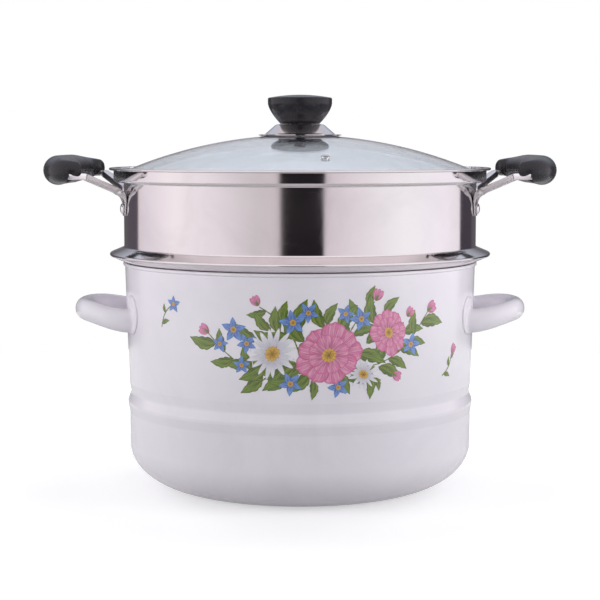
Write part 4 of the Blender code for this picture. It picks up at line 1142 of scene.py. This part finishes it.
# %% Vent
VENT_RADIUS, VENT_SWING = 0.108, radians(-80.0)
VENT_BORE, VENT_TUBE, VENT_FLANGE, VENT_SHEET = 0.0016, 0.0024, 0.0033, 0.0006
vent_lean = spin(asin(VENT_RADIUS / DOME), "Y") @ shift(0.0, 0.0, DOME)
vent_place = shift(0.0, 0.0, dome_centre) @ spin(VENT_SWING) @ vent_lean
drill = added(bpy.ops.mesh.primitive_cylinder_add, vertices=SMALL, radius=VENT_TUBE + TOUCH,
              depth=4.0 * THICK)
drill.data.transform(vent_place)
boolean(pane, drill)
dressed(settle(pane, 50.0), glass, "lid", "glass", "lid_glass")
vent_top, vent_under, vent_lap = TOUCH + VENT_SHEET, -THICK - TOUCH, TOUCH * 0.2
vent_line = rounded([
    (VENT_FLANGE, vent_lap), (VENT_TUBE, vent_lap), (VENT_TUBE, vent_under), (VENT_FLANGE, vent_under),
    (VENT_FLANGE, vent_under - VENT_SHEET, 0.0002), (VENT_BORE, vent_under - VENT_SHEET, 0.0003),
    (VENT_BORE, vent_top, 0.0004), (VENT_FLANGE, vent_top, 0.0003), (VENT_FLANGE, vent_lap),
], 4)
vent = turned("vent_ring", vent_line, SMALL)
vent.data.transform(vent_place)
dressed(vent, satin, "lid", "band", "vent_eyelet")

# %% Band
BAND_ROUND = 0.0006
band_lip = BAND - BAND_LIP
band_low, band_high = LID_Z + TOUCH, LID_Z + TOUCH + BAND_SHEET
over = [band_lip + BAND_LIP * share for share in (0.0, 0.2, 0.4, 0.6, 0.8)]
over_dome = DOME + TOUCH + BAND_SHEET
shoulder = dome_z(GLASS_EDGE) + TOUCH
band_line = [(r, dome_z(r, over_dome)) for r in over]
band_line += rounded([(over[-1], dome_z(over[-1], over_dome)), (BAND, shoulder + TOUCH, BAND_ROUND),
                      (BAND, band_low, BAND_ROUND), (band_lip, band_low)], 5)[1:]
band_line += [(band_lip, band_high), (BAND - BAND_SHEET, band_high), (BAND - BAND_SHEET, shoulder)]
band_line += [(r, dome_z(r, DOME + TOUCH)) for r in over[::-1]]
band = turned_ring("lid_band_ring", band_line)
dressed(band, polished, "lid", "band", "lid_band")

# %% [markdown]
# ## The knob and what holds it
#
# A steel skirt spreads the knob's pull over the glass, with a gasket between. The knob widens
# upwards like a bowl so that fingers can hook under its edge. Below the glass, a screw with a
# washer and a grommet goes up into a brass insert in the knob.

# %% Skirt and gasket
SKIRT_SHEET, SKIRT_RIM, SKIRT_BRIM, SKIRT_SHOULDER, SKIRT_HEIGHT = 0.0006, 0.0330, 0.0280, 0.0190, 0.0084
GASKET, GASKET_IN, GASKET_OUT = 0.0005, 0.0265, 0.0315
KNOB_SCREW = 0.0020
SCREW_HOLE = 0.0023
brim_lift = 2.0 * TOUCH + GASKET + SKIRT_SHEET
skirt_outer = rounded([
    (KNOB_SCREW + 2.0 * TOUCH, CROWN + SKIRT_HEIGHT),
    (SKIRT_SHOULDER, CROWN + SKIRT_HEIGHT, 0.004),
    (SKIRT_BRIM, dome_z(SKIRT_BRIM) + brim_lift, 0.0025),
    (SKIRT_RIM, dome_z(SKIRT_RIM) + brim_lift),
], 9)
skirt = turned_ring("knob_skirt_spun", skirt_outer + inset(skirt_outer, SKIRT_SHEET)[::-1], MEDIUM)
dressed(skirt, polished, "lid", "steel", "knob_skirt")
gasket_line = [(r, dome_z(r) + lift) for r, lift in (
    (GASKET_IN, GASKET + TOUCH), (GASKET_OUT, GASKET + TOUCH), (GASKET_OUT, TOUCH), (GASKET_IN, TOUCH))]
gasket = turned_ring("skirt_ring", gasket_line, MEDIUM)
dressed(gasket, silicone, "lid", "silicone", "skirt_gasket")

# %% Knob
KNOB_BASE, KNOB_TOP, FLARE, FLARE_POWER = 0.0155, 0.0256, 0.0164, 1.55
KNOB_SIDE, CROWN_RISE, CROWN_FALL = 0.0043, 0.0024, 0.85
KNOB_EDGE_ROUND, KNOB_CHAMFER = 0.0012, 0.0004
CROWN_EDGE = KNOB_TOP * 0.9
CROWN_STEPS, FLARE_STEPS = 12, 24
SOCKET, SOCKET_DEPTH = 0.0043, 0.0106
knob_base_z = CROWN + SKIRT_HEIGHT + TOUCH
wide_z = knob_base_z + FLARE
knob_top_z = wide_z + KNOB_SIDE
socket_top = knob_base_z + SOCKET_DEPTH
knob_line = [(CROWN_EDGE * step / CROWN_STEPS,
              knob_top_z + CROWN_RISE * (1.0 - CROWN_FALL * (step / CROWN_STEPS) ** 2))
             for step in range(CROWN_STEPS + 1)]
knob_line += rounded([(CROWN_EDGE, knob_top_z + CROWN_RISE * (1.0 - CROWN_FALL)),
                      (KNOB_TOP, knob_top_z, KNOB_EDGE_ROUND), (KNOB_TOP, wide_z)], 8)[1:]
for step in range(1, FLARE_STEPS + 1):
    fall = step / FLARE_STEPS
    knob_line.append((KNOB_BASE + (KNOB_TOP - KNOB_BASE) * (1.0 - fall ** FLARE_POWER),
                      wide_z - FLARE * fall))
knob_line += [(KNOB_BASE - KNOB_CHAMFER, knob_base_z), (SOCKET, knob_base_z), (SOCKET, socket_top),
              (0.0, socket_top)]
knob = turned("bowl_knob", knob_line, MEDIUM)
dressed(knob, phenolic, "lid", "phenolic", "knob")

# %% Insert, grommet, washer and screw
INSERT, INSERT_LENGTH = 0.0040, 0.010
GROMMET_NECK, WASHER, LAYER_THICKNESS = 0.0052, 0.011, 0.001
BOLT_HEAD, BOLT_HEAD_HEIGHT, BOLT_REACH = 0.005, 0.0028, 0.009
BOLT_SLOT = (0.0054, 0.0011, 0.0030)


def sleeve(name, radius, low, high):
    """A plain ring round the screw."""
    return turned_ring(name, [(radius, high), (radius, low), (SCREW_HOLE, low), (SCREW_HOLE, high)], SMALL)


insert_z = knob_base_z + TOUCH
insert = sleeve("brass_insert", INSERT, insert_z, insert_z + INSERT_LENGTH)
dressed(insert, brass, "lid", "brass", "knob_insert")
seat_z = dome_z(WASHER, UNDER_DOME) - TOUCH
seat_low = seat_z - LAYER_THICKNESS
grommet = turned_ring("glass_grommet", [
    (GROMMET_NECK, CROWN - TOUCH), (GROMMET_NECK, seat_z), (WASHER, seat_z), (WASHER, seat_low),
    (SCREW_HOLE, seat_low), (SCREW_HOLE, CROWN - TOUCH)], SMALL)
dressed(grommet, silicone, "lid", "silicone", "screw_grommet")
washer_top = seat_low - TOUCH
washer_low = washer_top - LAYER_THICKNESS
dressed(sleeve("steel_washer", WASHER, washer_low, washer_top), satin, "lid", "band", "screw_washer")
knob_screw = cross_screw("knob_bolt", knob_base_z + BOLT_REACH, KNOB_SCREW, washer_low - TOUCH,
                         BOLT_HEAD, BOLT_HEAD_HEIGHT, BOLT_SLOT)
dressed(knob_screw, satin, "lid", "band", "knob_screw")

# %% [markdown]
# ## The studio
#
# The photo has a white ground, and the steel mirrors a bright studio with a dark strip where the
# camera stands and two dark gaps behind the pot. Mirrors show only what is there to be mirrored, so
# the world holds that studio for glossy rays alone: bright and dark sectors of direction below, and
# a ceiling that darkens towards the back above. The camera sees plain white. What lights the pot is
# a banded sky and five soft lamps, two of them behind it for the edges.

# %% World
# degrees round from the camera's side, to the left and right, and the light from there
BEHIND = [(150.0, (0.09, 0.085, 0.09)), (168.0, (0.10, 0.092, 0.10)), (176.0, (0.27, 0.25, 0.28)),
          (180.0, (0.29, 0.27, 0.30))]
SECTORS = [(-turn, light) for turn, light in BEHIND[::-1]] + [
    (-146.0, (0.088, 0.075, 0.095)), (-129.5, (0.088, 0.075, 0.095)),
    (-127.5, (0.68, 0.62, 0.64)), (-119.0, (0.763, 0.702, 0.768)), (-87.0, (0.941, 0.894, 0.922)),
    (-55.0, (0.836, 0.792, 0.836)), (-27.0, (0.64, 0.606, 0.63)), (-12.8, (0.648, 0.592, 0.616)),
    (-12.1, (0.014, 0.012, 0.014)), (14.9, (0.014, 0.012, 0.014)), (15.6, (0.663, 0.606, 0.652)),
    (33.0, (0.771, 0.726, 0.768)), (69.5, (0.941, 0.94, 0.968)), (106.0, (0.941, 0.904, 0.98)),
    (124.6, (0.83, 0.79, 0.83)), (126.6, (0.055, 0.046, 0.061)), (146.0, (0.055, 0.046, 0.061))] + BEHIND
CEILING = [  # how far behind the pot, and the light from there
    (0.0, (0.92, 0.87, 0.90)), (1.0, (0.52, 0.56, 0.65)), (0.25, (0.70, 0.655, 0.685)),
    (0.55, (0.58, 0.55, 0.58)), (0.72, (0.52, 0.56, 0.65))]
CEILING_STARTS = (0.12, 0.44)  # the sine of the height where it starts and where it is complete
SKY = [  # the sine of the height, and the light from there
    (0.0, 0.79), (1.0, 0.40), (0.22, 0.74), (0.42, 0.28), (0.72, 0.28), (0.88, 0.40)]
MIRROR_STRENGTH = 1.25


def mix_shaders(mask, first, second):
    return node("MixShader", {0: mask, 1: first, 2: second})[0]


def background(colour, strength=1.0):
    return node("Background", {"Color": colour, "Strength": strength})[0]


world = bpy.data.worlds.new("studio")
bpy.context.scene.world = world
open_nodes(world).clear()
rays = node("LightPath")
parts = node("SeparateXYZ", {"Vector": node("TexCoord")["Generated"]})
sector = sums("ARCTAN2", parts["X"], sums("MULTIPLY", parts["Y"], -1.0))
walls = ramp(ranged(sector, (-pi, pi)), [(turn / 360.0 + 0.5, light) for turn, light in SECTORS])
raised = ranged(parts["Z"], CEILING_STARTS)
room = blend(raised, walls, ramp(parts["Y"], CEILING))
sky = ramp(parts["Z"], [(height, (light * 0.98, light * 0.98, light)) for height, light in SKY])
ground = background((1.0, 1.0, 1.0))
seen = mix_shaders(rays["Is Glossy Ray"], background(sky), background(room, MIRROR_STRENGTH))
for kind in ("Is Camera Ray", "Is Transmission Ray"):
    seen = mix_shaders(rays[kind], seen, ground)
node("OutputWorld", {"Surface": seen})
print("world:", len(SECTORS), "sectors,", len(CEILING), "stops in the ceiling,", len(SKY), "in the sky")

# %% [markdown]
# The floor is a pale disc that glows more and more towards its rim, so that it melts into the white
# ground. Only the camera and mirrors see it so pale: what it throws up onto the pot is less, but
# for a faint glow round the base. From below it is clear, so that the base can be looked at.

# %% Floor
FLOOR_RADIUS = 0.9
FLOOR_DARK, FLOOR_PALE = (0.36, 0.355, 0.365), (0.82, 0.82, 0.83)
FADE, FADE_GLOW = (0.20, 0.75), (0.42, 1.0)
BASE_GLOW_ENDS, BASE_GLOW = (0.13, 0.22), (0.13, 0.0)

floor = added(bpy.ops.mesh.primitive_circle_add, vertices=96, radius=FLOOR_RADIUS, fill_type="NGON")
floor.name = "floor"
floor_paint = bpy.data.materials.new("pale_floor")
open_nodes(floor_paint).clear()
rays = node("LightPath")
looked_at = sums("MAXIMUM", rays["Is Camera Ray"], rays["Is Glossy Ray"])
shade = blend(looked_at, FLOOR_DARK, FLOOR_PALE)
paint = node("BsdfDiffuse", {"Color": shade})[0]
spot = node("TexCoord")["Object"]
away = node("VectorMath", {0: spot}, operation="LENGTH")["Value"]
glow, bounce = [node("Emission", {"Strength": ranged(away, ends, strengths)})[0]
                for ends, strengths in ((FADE, FADE_GLOW), (BASE_GLOW_ENDS, BASE_GLOW))]
lift = mix_shaders(rays["Is Camera Ray"], bounce, glow)
whole = node("AddShader", {0: paint, 1: lift})[0]
backfacing = node("NewGeometry")["Backfacing"]
from_below = sums("MULTIPLY", backfacing, rays["Is Camera Ray"])
clear = node("BsdfTransparent")[0]
node("OutputMaterial", {"Surface": mix_shaders(from_below, whole, clear)})
floor.data.materials.append(floor_paint)
floor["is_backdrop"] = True
print(f"floor: {2.0 * FLOOR_RADIUS:.1f} m wide")

# %% Lamps
LAMP_TARGET = Vector((0.0, 0.0, 0.15))
LAMPS = {  # place, width in metres and power in watts
    "lamp_front": ((0.0, -1.15, 0.34), 0.6, 0.6),
    "lamp_left": ((-1.10, -0.50, 0.30), 0.7, 5.6),
    "lamp_right": ((1.10, -0.50, 0.30), 0.7, 6.7),
    "lamp_behind_left": ((-0.95, 1.00, 0.40), 0.8, 6.6),
    "lamp_behind_right": ((0.95, 1.00, 0.40), 0.8, 6.6),
}
for name, (place, size, power) in LAMPS.items():
    light = bpy.data.lights.new(name, "AREA")
    light.shape = "DISK"
    light.size = size
    light.energy = power
    lamp = bpy.data.objects.new(name, light)
    lamp.location = place
    lamp.rotation_euler = (LAMP_TARGET - Vector(place)).to_track_quat("-Z", "Y").to_euler()
    lamp.visible_glossy = False
    bpy.context.scene.collection.objects.link(lamp)
bpy.context.scene.view_settings.view_transform = "Standard"
print("lamps:", len(LAMPS))

# %% [markdown]
# ## Finish
#
# The dressed model must fill the same box as the solids. Both boxes are printed.

# %% Print both boxes
dressed_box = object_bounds()
for label, (low, high) in (("solids", cad_box), ("dressed", dressed_box)):
    print(label, [round(value * 1000, 1) for value in (high - low)])
